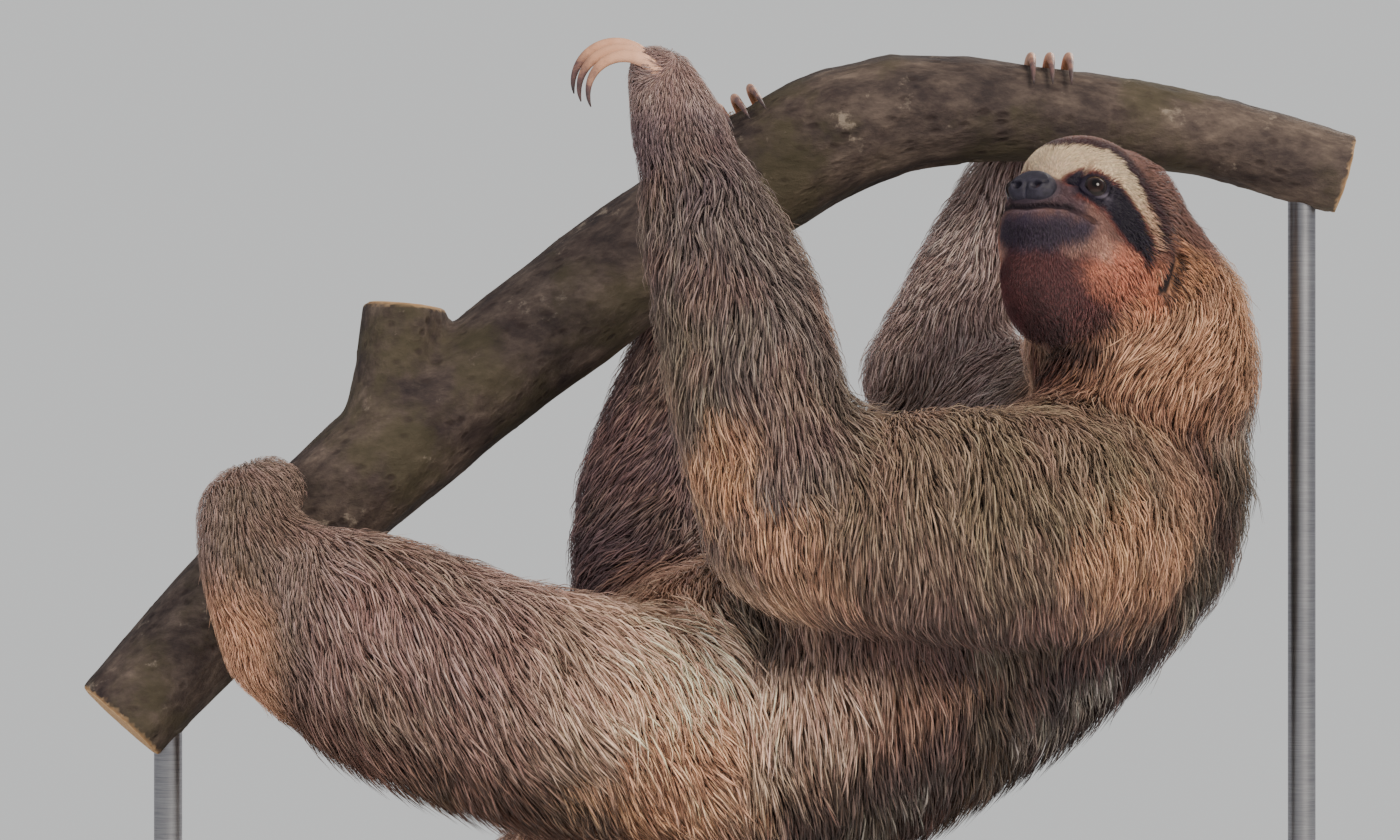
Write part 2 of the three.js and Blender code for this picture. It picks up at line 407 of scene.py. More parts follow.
    @staticmethod
    def behind_ear(own: Array) -> Array:
        """How far each place lies behind the ear's slit."""
        return -11 + 0.16 * own[:, 2] - own[:, 0]

    def bareness(self, own: Array) -> Array:
        """1 where no hair grows: on the eye's opening and rims, the nose leather and the line of the lips.

        Args:
            own: Places in the head's axes.

        Returns:
            The share of bare skin.
        """
        p = both_sides(own)
        bare = 1 - ease(1.25, 1.45, self.oval(own) - 0.16 * ease(-0.5, -3, p[:, 2] - self.eye_at[2]))
        bare = np.maximum(bare, 1 - ease(0.4, 1.4, self.nose_leather.distance(p)))
        bare = np.maximum(bare, 1 - ease(1.0, 1.8, self.mouth.distance(p)))
        return np.maximum(bare, 1 - ease(1.2, 2.6, self.ear_slit.distance(p)))


FACE = Face()


@dataclass(frozen=True)
class Pelage:
    """How the coat grows on one part of the body. Sizes are in millimetres.

    Attributes:
        depth: From the skin to the tips.
        length: Of one tuft.
        width: Of one tuft.
        crowd: Tufts on a square centimetre.
        colour: Of the middle of a tuft, as 0 to 255 on a screen.
        pale: Of the palest tufts.
        lean: The way that the hair hangs.
    """

    depth: float
    length: float
    width: float
    crowd: float
    colour: Triple
    pale: Triple
    lean: Triple = (0.0, 0.0, -1.0)


TRUNK = Pelage(13, 22, 0.85, 39, (182, 132, 106), (220, 178, 150), (0.22, 0, -1))
NECK = Pelage(10, 17, 0.7, 68, (192, 146, 114), (236, 198, 160), (-0.7, 0, -1))
CROWN = Pelage(6, 12, 0.62, 88, (132, 98, 90), (178, 144, 130), (-0.7, 0, -1))
UPPER_ARM = Pelage(13, 21, 0.8, 64, (134, 110, 91), (184, 160, 132), (0.16, 0, -1))
FOREARM = Pelage(10, 18, 0.76, 66, (110, 94, 90), (164, 148, 134), (0.08, 0, -1))
HAND = Pelage(2.8, 9, 0.56, 100, (166, 140, 132), (204, 180, 170), (0.1, 0, -1))
THIGH = Pelage(13, 23, 0.86, 53, (156, 122, 110), (212, 180, 164), (0.62, 0, -1))
SHANK = Pelage(11, 21, 0.82, 57, (156, 122, 112), (214, 184, 170), (0.58, 0, -1))
FOOT = Pelage(5, 14, 0.7, 66, (146, 124, 110), (188, 160, 148), (0.3, 0, -1))
# The far arm's coat is painted far paler than the near arm's, as painted light on a limb that sits in shade;
# the far leg's is painted darker, as painted shade.
FAR_UPPER_ARM = Pelage(10, 19, 0.8, 46, (224, 200, 190), (238, 224, 214), (-0.9, 0, -0.5))
FAR_FOREARM = Pelage(7, 16, 0.76, 48, (210, 184, 176), (234, 216, 206), (-0.35, 0, -1))
FAR_THIGH = Pelage(11, 20, 0.86, 40, (112, 90, 92), (160, 130, 126), (-0.7, 0, -0.6))
FAR_SHANK = Pelage(8, 18, 0.82, 48, (112, 90, 92), (160, 134, 128), (-0.5, 0, -0.8))
TAIL = Pelage(4, 13, 0.8, 56, (126, 98, 84), (174, 142, 126), (-0.5, 0, -1))

PELAGES: dict[str, Pelage] = {
    "trunk": TRUNK,
    "neck": NECK,
    "head": CROWN,
    "ear_left": CROWN,
    "ear_right": CROWN,
    "tail": TAIL,
    "upper_arm_left": UPPER_ARM,
    "forearm_left": FOREARM,
    "hand_left": HAND,
    "upper_arm_right": FAR_UPPER_ARM,
    "forearm_right": FAR_FOREARM,
    "hand_right": HAND,
    "thigh_left": THIGH,
    "shank_left": SHANK,
    "foot_left": FOOT,
    "thigh_right": FAR_THIGH,
    "shank_right": FAR_SHANK,
    "foot_right": FOOT,
}


class Bench:
    """Blender's own tools, used one after another as a modeller does by hand."""

    @staticmethod
    def clear() -> None:
        """Selects nothing."""
        bpy.ops.object.select_all(action="DESELECT")

    @staticmethod
    def take(piece: Piece) -> None:
        """Selects one piece alone and makes it the active one.

        Args:
            piece: The piece.
        """
        Bench.clear()
        piece.select_set(True)
        bpy.context.view_layer.objects.active = piece

    @staticmethod
    def apply(piece: Piece, kind: str, **settings: Any) -> None:
        """Adds a modifier with its settings and applies it.

        Args:
            piece: The piece that it shapes.
            kind: The modifier's type.
            **settings: Its settings, by name.
        """
        Bench.take(piece)
        modifier = piece.modifiers.new(kind.lower(), kind)
        for name, value in settings.items():
            setattr(modifier, name, value)
        bpy.ops.object.modifier_apply(modifier=modifier.name)

    @staticmethod
    def edit(piece: Piece, mode: str = "FACE") -> None:
        """Opens one piece in edit mode.

        Args:
            piece: The piece.
            mode: What is picked in it: VERT, EDGE or FACE.
        """
        Bench.take(piece)
        bpy.ops.object.mode_set(mode="EDIT")
        bpy.ops.mesh.select_mode(type=mode)

    @staticmethod
    def pick_all() -> None:
        """Picks the whole mesh in edit mode."""
        bpy.ops.mesh.select_all(action="SELECT")

    @staticmethod
    def close() -> None:
        """Leaves edit mode."""
        bpy.ops.object.mode_set(mode="OBJECT")

    @staticmethod
    def close_facing_out() -> None:
        """Turns all faces outwards and leaves edit mode."""
        Bench.pick_all()
        bpy.ops.mesh.normals_make_consistent(inside=False)
        Bench.close()

    @staticmethod
    def newest(name: str) -> Piece:
        """Names the primitive just added, and puts its place, turn and size into its mesh.

        Args:
            name: Its name.

        Returns:
            The piece.
        """
        piece = bpy.context.active_object
        piece.name = piece.data.name = name
        Bench.take(piece)
        bpy.ops.object.transform_apply(location=True, rotation=True, scale=True)
        return piece

    @staticmethod
    def hang(name: str, data: Any) -> Piece:
        """Puts a mesh, light or camera into the scene.

        Args:
            name: Its object's name.
            data: The mesh, light or camera.

        Returns:
            The object.
        """
        piece = bpy.data.objects.new(name, data)
        bpy.context.scene.collection.objects.link(piece)
        return piece

    @staticmethod
    def pick(piece: Piece, kind: str, wanted: Sequence[bool] | Array) -> None:
        """Picks vertices, edges or polygons of a piece in object mode, and nothing else.

        Args:
            piece: The piece.
            kind: The name of the mesh's collection that is picked from.
            wanted: Which of them are picked.
        """
        mesh = piece.data
        kinds = ("vertices", "edges", "polygons")
        bpy.context.tool_settings.mesh_select_mode = tuple(name == kind for name in kinds)
        for name in kinds:
            items = getattr(mesh, name)
            chosen = np.asarray(wanted, bool) if name == kind else np.zeros(len(items), bool)
            items.foreach_set("select", chosen)

    @staticmethod
    def read(items: Any, name: str, width: int, kind: type = np.float32) -> Array:
        """Reads one property of all of a mesh's vertices, edges, corners or faces.

        Args:
            items: The mesh's collection of them.
            name: The property.
            width: How many numbers it has.
            kind: The numbers' type.

        Returns:
            A row for each of them.
        """
        values = np.empty(len(items) * width, kind)
        items.foreach_get(name, values)
        return values.reshape(-1, width)

    @staticmethod
    def points(piece: Piece) -> Array:
        """The piece's vertices in millimetres, n by 3."""
        return Bench.read(piece.data.vertices, "co", 3).astype(float) / MM

    @staticmethod
    def normals(piece: Piece) -> Array:
        """The piece's vertex normals, n by 3."""
        return Bench.read(piece.data.vertices, "normal", 3).astype(float)

    @staticmethod
    def move_points(piece: Piece, points: Array) -> None:
        """Sets the piece's vertices, given in millimetres."""
        piece.data.vertices.foreach_set("co", (points * MM).astype(np.float32).ravel())
        piece.data.update()

    @staticmethod
    def copy_of(nodes: Sequence[str], name: str) -> Piece:
        """One merged copy of solids, which stay as they are.

        Args:
            nodes: The solids' names.
            name: The new piece's name.

        Returns:
            The new piece.
        """
        copies = [Bench.hang(f"{name}_{node}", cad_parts[node].data.copy()) for node in nodes]
        Bench.clear()
        for twin in copies:
            twin.select_set(True)
        bpy.context.view_layer.objects.active = copies[0]
        if len(copies) > 1:
            bpy.ops.object.join()
        piece = bpy.context.view_layer.objects.active
        piece.name = piece.data.name = name
        piece.data.materials.clear()
        Bench.edit(piece, "VERT")
        Bench.pick_all()
        bpy.ops.mesh.remove_doubles(threshold=0.00002)
        Bench.close_facing_out()
        return piece

    @staticmethod
    def add_attribute(mesh: bpy.types.Mesh, name: str, values: Array) -> None:
        """Writes one number or one colour for each vertex.

        Args:
            mesh: The mesh.
            name: The attribute's name.
            values: Numbers, or rows of red, green and blue.
        """
        kind, key = "FLOAT", "value"
        if values.ndim == 2:
            kind, key = "FLOAT_COLOR", "color"
            values = np.concatenate([values, np.ones((len(values), 1))], axis=1)
        mesh.attributes.new(name, kind, "POINT").data.foreach_set(key, values.astype(np.float32).ravel())


class Wire:
    """A node's output, with arithmetic that adds Math nodes."""

    def __init__(self, finish: "Shade", socket: bpy.types.NodeSocket) -> None:
        """Holds the socket and the material it belongs to."""
        self.finish = finish
        self.socket = socket

    def _math(self, operation: str, a: "Wire | float", b: "Wire | float") -> "Wire":
        """One Math node on two values."""
        return self.finish.node("ShaderNodeMath", {"operation": operation}, {0: a, 1: b})

    def __add__(self, other: "Wire | float") -> "Wire":
        """self + other."""
        return self._math("ADD", self, other)

    __radd__ = __add__

    def __sub__(self, other: "Wire | float") -> "Wire":
        """self - other."""
        return self._math("SUBTRACT", self, other)

    def __rsub__(self, other: float) -> "Wire":
        """other - self."""
        return self._math("SUBTRACT", other, self)

    def __mul__(self, other: "Wire | float") -> "Wire":
        """self * other."""
        return self._math("MULTIPLY", self, other)

    __rmul__ = __mul__

    def __truediv__(self, other: "Wire | float") -> "Wire":
        """self / other."""
        return self._math("DIVIDE", self, other)

    def __rtruediv__(self, other: float) -> "Wire":
        """other / self."""
        return self._math("DIVIDE", other, self)


class Shade:
    """A material under construction."""

    def __init__(self, name: str) -> None:
        """Starts an empty material with its output.

        Args:
            name: The material's name.
        """
        self.material = bpy.data.materials.new(name)
        self.material.use_nodes = True
        self.tree = self.material.node_tree
        self.tree.nodes.clear()
        self.out = self.tree.nodes.new("ShaderNodeOutputMaterial")

    def node(
        self,
        kind: str,
        settings: dict[str, Any] | None = None,
        inputs: dict[str | int, Any] | None = None,
        output: str | int = 0,
    ) -> Wire:
        """Adds a node.

        Args:
            kind: The node's type.
            settings: Its properties, and stops for a colour ramp as (place, colour) pairs.
            inputs: Values or wires for its sockets, by name or number.
            output: The socket to give back.

        Returns:
            The output as a wire.
        """
        made = self.tree.nodes.new(kind)
        for name, value in (settings or {}).items():
            if name == "stops":
                ramp = made.color_ramp
                while len(ramp.elements) < len(value):
                    ramp.elements.new(0.5)
                for element, (place, colour) in zip(ramp.elements, value):
                    element.position, element.color = place, (*colour, 1)
            else:
                setattr(made, name, value)
        for name, value in (inputs or {}).items():
            socket = made.inputs[name]
            if isinstance(value, Wire):
                self.tree.links.new(value.socket, socket)
            else:
                socket.default_value = value
        return Wire(self, made.outputs[output])

    def ramp(self, factor: Wire, *stops: tuple[float, Sequence[float]]) -> Wire:
        """Colours picked by a value."""
        return self.node("ShaderNodeValToRGB", {"stops": stops}, {"Fac": factor})

    def ease(self, value: Wire, low: float, high: float) -> Wire:
        """A smooth step from 0 at low to 1 at high."""
        settings = {"interpolation_type": "SMOOTHSTEP"}
        return self.node("ShaderNodeMapRange", settings, {"Value": value, "From Min": low, "From Max": high})

    def mix(self, factor: Wire | float, a: Any, b: Any, blend: str = "MIX") -> Wire:
        """Two colours mixed."""
        settings = {"data_type": "RGBA", "blend_type": blend}
        return self.node("ShaderNodeMix", settings, {0: factor, 6: a, 7: b}, 2)

    def place(self, scale: Triple = (1, 1, 1), turn: Triple = (0, 0, 0), at: Triple = (0, 0, 0)) -> Wire:
        """Object coordinates, moved, then turned and scaled.

        Args:
            scale: How much each axis is stretched.
            turn: The turn about each axis.
            at: The place that becomes the middle.

        Returns:
            The coordinates.
        """
        spot = self.node("ShaderNodeTexCoord", output="Object")
        spot = self.node("ShaderNodeVectorMath", {"operation": "SUBTRACT"}, {0: spot, 1: at})
        return self.node("ShaderNodeMapping", None, {"Vector": spot, "Rotation": turn, "Scale": scale})

    def noise(self, spot: Wire, scale: float, detail: float = 4, rough: float = 0.55) -> Wire:
        """Noise from 0 to 1."""
        inputs = {"Vector": spot, "Scale": scale, "Detail": detail, "Roughness": rough}
        return self.node("ShaderNodeTexNoise", None, inputs)

    def cells(self, spot: Wire, scale: float, feature: str = "F1") -> Wire:
        """Distances to scattered points or to the edges between their cells."""
        inputs = {"Vector": spot, "Scale": scale}
        return self.node("ShaderNodeTexVoronoi", {"feature": feature}, inputs, "Distance")

    def grey(self, value: Wire) -> Wire:
        """A value as a grey colour."""
        return self.node("ShaderNodeCombineColor", None, {0: value, 1: value, 2: value})

    def attribute(self, name: str, output: str = "Fac") -> Wire:
        """A value or colour kept on the piece's own vertices."""
        return self.node("ShaderNodeAttribute", {"attribute_name": name}, None, output)

    def bump(self, height: Wire, distance: float, strength: float = 1.0, under: Wire | None = None) -> Wire:
        """A normal from a height.

        Args:
            height: The height.
            distance: How far a height of 1 stands out, in metres.
            strength: Its share of the normal.
            under: A coarser normal that it lies on.

        Returns:
            The normal.
        """
        inputs: dict[str | int, Any] = {"Height": height, "Distance": distance, "Strength": strength}
        if under:
            inputs["Normal"] = under
        return self.node("ShaderNodeBump", None, inputs)

    def finish(self, **sockets: Any) -> Material:
        """Ends the material in a Principled BSDF.

        Args:
            **sockets: Values or wires for its sockets, with _ for a space.

        Returns:
            The material.
        """
        inputs = {name.replace("_", " "): value for name, value in sockets.items()}
        shader = self.node("ShaderNodeBsdfPrincipled", None, inputs)
        self.tree.links.new(shader.socket, self.out.inputs["Surface"])
        return self.material


@dataclass(frozen=True)
class HairFinish:
    """Coarse dull hair. The tufts hold their own tint, from root to tip."""

    roughness: float = 0.62
    sheen: float = 0.12

    def make(self) -> Material:
        """Makes the material.

        Returns:
            The material.
        """
        s = Shade("sloth_hair")
        spot = s.place()
        tint = s.attribute("tint", "Color")
        fleck = s.noise(spot, 900, 3, 0.6)
        shade = s.ease(fleck, 0.3, 0.75) * 0.32 + 0.84
        colour = s.mix(1.0, tint, s.grey(shade), "MULTIPLY")
        strands = s.noise(s.place((1, 1, 0.14)), 2600, 2, 0.5)
        return s.finish(
            Base_Color=colour,
            Roughness=self.roughness + fleck * 0.15,
            Normal=s.bump(strands, 0.0003, 0.45),
            Specular_IOR_Level=0.24,
            Sheen_Weight=self.sheen,
            Sheen_Roughness=0.5,
        )


@dataclass(frozen=True)
class SkinFinish:
    """The skin under the coat, with the coat's own marks and the short flat hair that lies on it."""

    roughness: float = 0.7

    def make(self) -> Material:
        """Makes the material.

        Returns:
            The material.
        """
        s = Shade("sloth_skin")
        tint = s.attribute("tint", "Color")
        pores = s.noise(s.place(), 1400, 4, 0.6)
        hairs = s.noise(s.place((1, 1, 0.22)), 1500, 3, 0.55)
        shade = hairs * 0.5 + 0.72
        colour = s.mix(1.0, tint, s.grey(shade), "MULTIPLY")
        normal = s.bump(hairs, 0.0006, 0.7, s.bump(pores, 0.0003, 0.5))
        return s.finish(
            Base_Color=colour,
            Roughness=self.roughness - pores * 0.15,
            Normal=normal,
            Specular_IOR_Level=0.35,
        )


@dataclass(frozen=True)
class LeatherFinish:
    """The damp pebbled leather of the nose."""

    dark: Triple = (30, 29, 38)
    pale: Triple = (64, 61, 74)

    def make(self) -> Material:
        """Makes the material.

        Returns:
            The material.
        """
        s = Shade("nose_leather")
        spot = s.place()
        pebbles = s.cells(spot, 1500, "DISTANCE_TO_EDGE")
        blotch = s.noise(spot, 200, 4)
        colour = s.ramp(blotch, (0.3, linear(self.dark)), (0.72, linear(self.pale)))
        creases = s.ease(pebbles, 0.0, 0.25)
        colour = s.mix((1 - creases) * 0.35, colour, (*linear((22, 20, 25)), 1))
        normal = s.bump(creases, 0.0001, 0.7)
        return s.finish(
            Base_Color=colour,
            Roughness=0.56 - creases * 0.14,
            Normal=normal,
            Specular_IOR_Level=0.4,
        )


@dataclass(frozen=True)
class EyeFinish:
    """A dark brown eye with a round pupil and a wet front."""

    at: Array
    gaze: Array

    def make(self, name: str) -> Material:
        """Makes the material.

        Args:
            name: Its name.

        Returns:
            The material.
        """
        s = Shade(name)
        spot = s.place(at=tuple(self.at * MM))
        aside = s.node("ShaderNodeVectorMath", {"operation": "CROSS_PRODUCT"}, {0: spot, 1: tuple(self.gaze)})
        off = s.node("ShaderNodeVectorMath", {"operation": "LENGTH"}, {0: aside}, "Value") * (1 / MM)
        fibres = s.noise(spot, 1100, 5, 0.7)
        ring = off + (fibres - 0.5) * 0.7
        colour = s.ramp(
            ring / FACE.eye_radius,
            (0.0, linear((6, 5, 6))),
            (0.27, linear((8, 6, 7))),
            (0.35, linear((27, 17, 15))),
            (0.58, linear((40, 26, 22))),
            (0.70, linear((16, 11, 11))),
            (0.86, linear((34, 26, 26))),
        )
        return s.finish(Base_Color=colour, Roughness=0.08, Specular_IOR_Level=0.32)


@dataclass(frozen=True)
class HornFinish:
    """Claw horn: cream at the root and grey at the tip, with fine lines along it."""

    root: Triple = (228, 178, 146)
    middle: Triple = (204, 152, 118)
    tip: Triple = (104, 78, 74)
    point: Triple = (60, 52, 52)

    def make(self) -> Material:
        """Makes the material.

        Returns:
            The material.
        """
        s = Shade("claw_horn")
        along = s.attribute("along")
        spot = s.place()
        stain = s.noise(spot, 260, 4)
        place = along + (stain - 0.5) * 0.5
        colour = s.ramp(
            place,
            (0.05, linear(self.root)),
            (0.5, linear(self.middle)),
            (0.8, linear(self.tip)),
            (1, linear(self.point)),
        )
        ridges = s.noise(spot, 1900, 3, 0.6)
        normal = s.bump(ridges, 0.00015, 0.6)
        return s.finish(Base_Color=colour, Roughness=0.42 + ridges * 0.2, Normal=normal)


@dataclass(frozen=True)
class BarkFinish:
    """Brown-grey bark with algae, lichen and dark pits, and pale rings where the bough is sawn."""

    def make(self) -> Material:
        """Makes the material.

        Returns:
            The material.
        """
        s = Shade("bough_bark")
        spot = s.place()
        along = s.place((0.32, 1, 0.6), (0, math.radians(38), 0))
        broad = s.noise(spot, 19, 5, 0.6)
        coarse = s.noise(along, 52, 7, 0.68)
        fine = s.noise(along, 330, 6, 0.65)
        bark = s.ramp(
            coarse * 0.7 + fine * 0.3,
            (0.34, linear((42, 36, 37))),
            (0.45, linear((66, 57, 53))),
            (0.54, linear((88, 77, 69))),
            (0.66, linear((120, 106, 94))),
        )
        bark = s.mix(s.ease(broad, 0.46, 0.62) * 0.6, bark, (*linear((70, 66, 46)), 1))
        bark = s.mix(s.ease(s.noise(spot, 31, 6, 0.7), 0.52, 0.66) * 0.4, bark, (*linear((48, 37, 38)), 1))
        lichen = s.ease(s.noise(spot, 44, 6, 0.7), 0.60, 0.68) * s.ease(fine, 0.36, 0.58)
        bark = s.mix(lichen * 0.6, bark, (*linear((150, 138, 122)), 1))
        pits = 1 - s.ease(s.cells(along, 210), 0.10, 0.32)
        bark = s.mix(pits * s.ease(coarse, 0.6, 0.45) * 0.6, bark, (*linear((44, 35, 33)), 1))
        cut = s.attribute("cut")
        wavy = (s.attribute("ring") + s.noise(spot, 90, 3) * 2.2) * 2.4
        rings = s.node("ShaderNodeMath", {"operation": "SINE"}, {0: wavy})
        wood = s.ramp(rings * 0.5 + 0.5, (0.2, linear((176, 140, 98))), (0.9, linear((206, 174, 130))))
        wood = s.mix(s.noise(spot, 160, 4) * 0.5, wood, (*linear((136, 100, 68)), 1))
        colour = s.mix(cut, bark, wood)
        height = (coarse * 0.55 + fine * 0.5 - pits * 0.2) * (1 - cut) + cut * 0.5
        return s.finish(
            Base_Color=colour,
            Roughness=0.88 - fine * 0.12,
            Normal=s.bump(height, 0.003, 0.9),
            Specular_IOR_Level=0.25,
        )


@dataclass(frozen=True)
class BoardFinish:
    """Dark stained hardwood, satin, with the grain along the board."""

    def make(self) -> Material:
        """Makes the material.

        Returns:
            The material.
        """
        s = Shade("board_wood")
        spot = s.place((0.7, 9, 9))
        warp = s.noise(s.place((1, 3, 3)), 5, 3)
        bent = s.node("ShaderNodeVectorMath", {"operation": "ADD"}, {0: spot, 1: warp})
        grain_lines = s.noise(bent, 9, 6, 0.62)
        pores = s.noise(s.place((0.05, 1, 1)), 700, 3, 0.6)
        colour = s.ramp(
            grain_lines,
            (0.3, linear((44, 28, 20))),
            (0.5, linear((72, 48, 32))),
            (0.7, linear((98, 68, 46))),
        )
        colour = s.mix(s.ease(pores, 0.56, 0.7) * 0.55, colour, (*linear((30, 20, 15)), 1))
        return s.finish(
            Base_Color=colour,
            Roughness=0.34 + grain_lines * 0.2,
            Normal=s.bump(grain_lines + pores * 0.5, 0.0002, 0.5),
            Coat_Weight=0.2,
        )


@dataclass(frozen=True)
class SteelFinish:
    """Brushed steel, the brush marks running round."""

    def make(self) -> Material:
        """Makes the material.

        Returns:
            The material.
        """
        s = Shade("rod_steel")
        marks = s.noise(s.place((1, 1, 26)), 60, 3, 0.6)
        smudge = s.noise(s.place(), 30, 3)
        colour = s.ramp(marks, (0.3, linear((140, 142, 145))), (0.7, linear((176, 178, 180))))
        return s.finish(
            Base_Color=colour,
            Metallic=1.0,
            Roughness=0.26 + smudge * 0.22,
            Normal=s.bump(marks, 0.00008, 0.5),
        )


class Markings:
    """The colours of the animal, the same for its skin and its coat.

    The head's marks are placed in its own axes, and the body's in world millimetres.
    """

    band_front = ((45, 0, 13.5, 9.5), (43, 11, 17.5, 8.5), (38, 22, 21, 6.5), (33, 28, 18.8, 6.2))
    band_side = ((27, 32.5, 16, 6.2), (20.5, 36.5, 12, 6), (14, 40, 6.5, 5.4), (7.5, 42.5, 0, 4.8))
    band = Chain((*band_front, *band_side, (0, 43.5, -7, 4.2), (-6, 43.5, -14, 3.4)))
    bridge = Chain(((46, 0, 8, 8), (46, 9, 8, 5.5)))
    stripe_front = ((42.8, 12.4, 5.8, 4.2), (37.5, 22.8, 6.4, 7.6), (31, 31, 3.6, 7.6), (25, 35.5, 0, 8.2))
    stripe = Chain((*stripe_front, (18, 38.5, -4, 7.4), (9.5, 40.3, -6.5, 5.0), (2.3, 40.6, -11.3, 2.8)))
    muzzle = Chain(((50, 0, -6, 10), (46, 12, -4, 8), (42, 19, -7, 6)))
    upper_lip = Chain(((51, 0, -13.2, 2.8), (49.2, 9.8, -11.2, 2.6), (43.5, 17.8, -8.8, 2.0)))
    chin = Chain(((46, 0, -23, 8.6), (43, 13, -21.5, 7.6), (35.5, 24.5, -17, 4.6)))
    pale_chin = Chain(((39, 20, -27, 4.5), (33, 28, -23, 5.5), (25, 33, -22, 5)))
    back_way = unit(np.array([0.56, 0, -0.83]))
    belly_at = np.array([-20, -60, 205])
    heel_at = np.array([-250, -75, 222])
    navel_at = np.array([-79, 0, 248])
    # Painted sunlight: patches of warmer, paler hair on the near arm, the neck and the belly.
    sunlit_tint = (220, 162, 124)
    sunlit_spots = (  # middle, reach and share
        ((-14, -150, 321), 32, 0.62),
        ((24, -160, 281), 36, 0.36),
        ((193, -125, 284), 46, 0.5),
        ((238, -60, 380), 42, 0.6),
        ((205, -80, 372), 34, 0.5),
        ((-49, -30, 262), 36, 0.5),
        ((-34, -80, 176), 50, 0.7),
    )
    jowl = Chain(((-4, 44, -16, 7), (-8, 42, -28, 8), (-8, 38, -40, 7), (-2, 33, -50, 5)))
    cheek = Chain(((24, 33, -28, 7), (8, 38, -25, 11), (-6, 43, -19, 10), (-4, 45, -5, 7)))

    def head(self, world: Array) -> Array:
        """The head's colours.

        Args:
            world: Places in world millimetres.

        Returns:
            A linear colour for each place.
        """
        own = HEAD.inward(world)
        p = both_sides(own)
        wobble = (grain(world, 3.0, 5) - 0.5) * 2.4
        broad = grain(world, 9.0, 6)
        c = np.tile(linear((128, 94, 84)), (len(p), 1))
        c = paint(c, ease(2, -12, own[:, 0]) * ease(18, 4, own[:, 2]), (188, 136, 100))
        c = paint(c, ease(-14, -30, own[:, 2]) * ease(-14, 12, own[:, 0] + (broad - 0.5) * 10), (92, 54, 54))
        dark = ease(0.5, 0.68, broad) * ease(-28, -38, own[:, 2]) * ease(-4, 8, own[:, 0])
        c = paint(c, dark * 0.6, (62, 36, 38))
        c = paint(c, ease(-50, -60, own[:, 2]) * ease(-6, 6, own[:, 0]) * 0.8, (50, 30, 32))
        # Orange-tan cheeks and jowls: partly the fur's own tone, partly painted sunlight.
        edge = self.cheek.distance(p) + wobble * 2 + (broad - 0.5) * 9
        c = paint(c, (1 - ease(-6, 9, edge)) * 0.95, (220, 142, 112))
        c = paint(c, (1 - ease(-3, 7, self.jowl.distance(p) + wobble * 2)) * 0.85, (220, 136, 102))
        edge = self.band.distance(p)
        c = paint(c, (1 - ease(4.5, 13, edge)) * ease(-14, 2, own[:, 2]), (62, 38, 42))
        c = paint(c, 1 - ease(-0.8, 1.4, edge + wobble), (224, 202, 168))
        c = paint(c, (1 - ease(-0.8, 2.4, edge + wobble)) * ease(24, 4, own[:, 0]) * 0.9, (200, 156, 126))
        c = paint(c, 1 - ease(-1, 2.5, self.bridge.distance(p) + wobble), (218, 196, 166))
        c = paint(c, 1 - ease(-2, 3.5, self.muzzle.distance(p) + wobble), (94, 72, 76))
        c = paint(c, 1 - ease(-4, 4, self.pale_chin.distance(p) + wobble * 2), (190, 148, 130))
        c = paint(c, 1 - ease(-4, 5, self.chin.distance(p) + wobble * 1.5), (62, 51, 66))
        lip = (1 - ease(1.6, 3.2, FACE.mouth.distance(p))) * ease(-15, -17, own[:, 2])
        c = paint(c, lip * 0.8, (112, 94, 100))
        c = paint(c, 1 - ease(-0.8, 1.2, self.upper_lip.distance(p) + wobble * 0.3), (50, 38, 46))
        rim = self.stripe.distance(p) + wobble * 0.6
        c = paint(c, 1 - ease(0.4, 2.6, rim), (112, 60, 52))
        c = paint(c, 1 - ease(-1.2, 0.8, rim), (26, 19, 36))
        round_nose = (1 - ease(0.8, 3.6, FACE.nose_leather.distance(p))) * ease(4, -4, own[:, 2])
        c = paint(c, round_nose * 0.85, (52, 44, 54))
        # Painted shade in the mouth's crease.
        c = paint(c, 1 - ease(0.8, 2.2, FACE.mouth.distance(p)), (38, 27, 33))
        # A pale grey lower lid, partly a painted highlight on its rim.
        lid = (1 - ease(1.2, 1.45, FACE.oval(own))) * ease(-1.0, -3.0, own[:, 2] - FACE.eye_at[2])
        c = paint(c, lid * 0.8, (132, 124, 136))
        # Painted shade in the ear's slit.
        slit = FACE.ear_slit.distance(p) - 1.8 * ease(0, 2, FACE.behind_ear(own))
        return paint(c, 1 - ease(0.9, 2.6, slit), (30, 17, 18))

    def body(self, world: Array, normals: Array, base: Array, trunk: Array) -> Array:
        """The body's colours.

        Args:
            world: Places in world millimetres.
            normals: The skin's normals there.
            base: The colour of each part there.
            trunk: The share of each place that belongs to the trunk and neck.

        Returns:
            A linear colour for each place.
        """
        backward = normals @ self.back_way
        soft = grain(world, 30, 11)
        blotch = grain(world, 11, 12)
        c = base
        c = paint(c, trunk * ease(0.3, -0.7, backward) * 0.8, (214, 170, 144))
        # A paler belly: partly the fur's own tone, partly painted sunlight.
        belly = 1 - ease(30, 96, np.linalg.norm((world - self.belly_at) * [0.8, 0.5, 1], axis=1))
        c = paint(c, belly * ease(-20, -45, world[:, 1]) * 0.9, (246, 204, 174))
        # Painted shade: the trunk darker low down beneath the near arm, towards the shoulder.
        c = paint(c, trunk * ease(95, 165, world[:, 0]) * ease(300, 235, world[:, 2]) * 0.85, (78, 48, 44))
        # The back darker: partly the fur's own tone, partly painted shade on the side that faces down.
        c = paint(c, trunk * ease(-0.1, 0.55, backward) * 0.92, (58, 44, 43))
        # Painted shadow: a dark band on the trunk just under the near arm.
        under = ease(212, 236, world[:, 2]) * ease(-30, 5, world[:, 0]) * ease(215, 170, world[:, 0])
        c = paint(c, trunk * under * ease(0.2, -0.4, normals[:, 1]) * 0.92, (52, 33, 35))
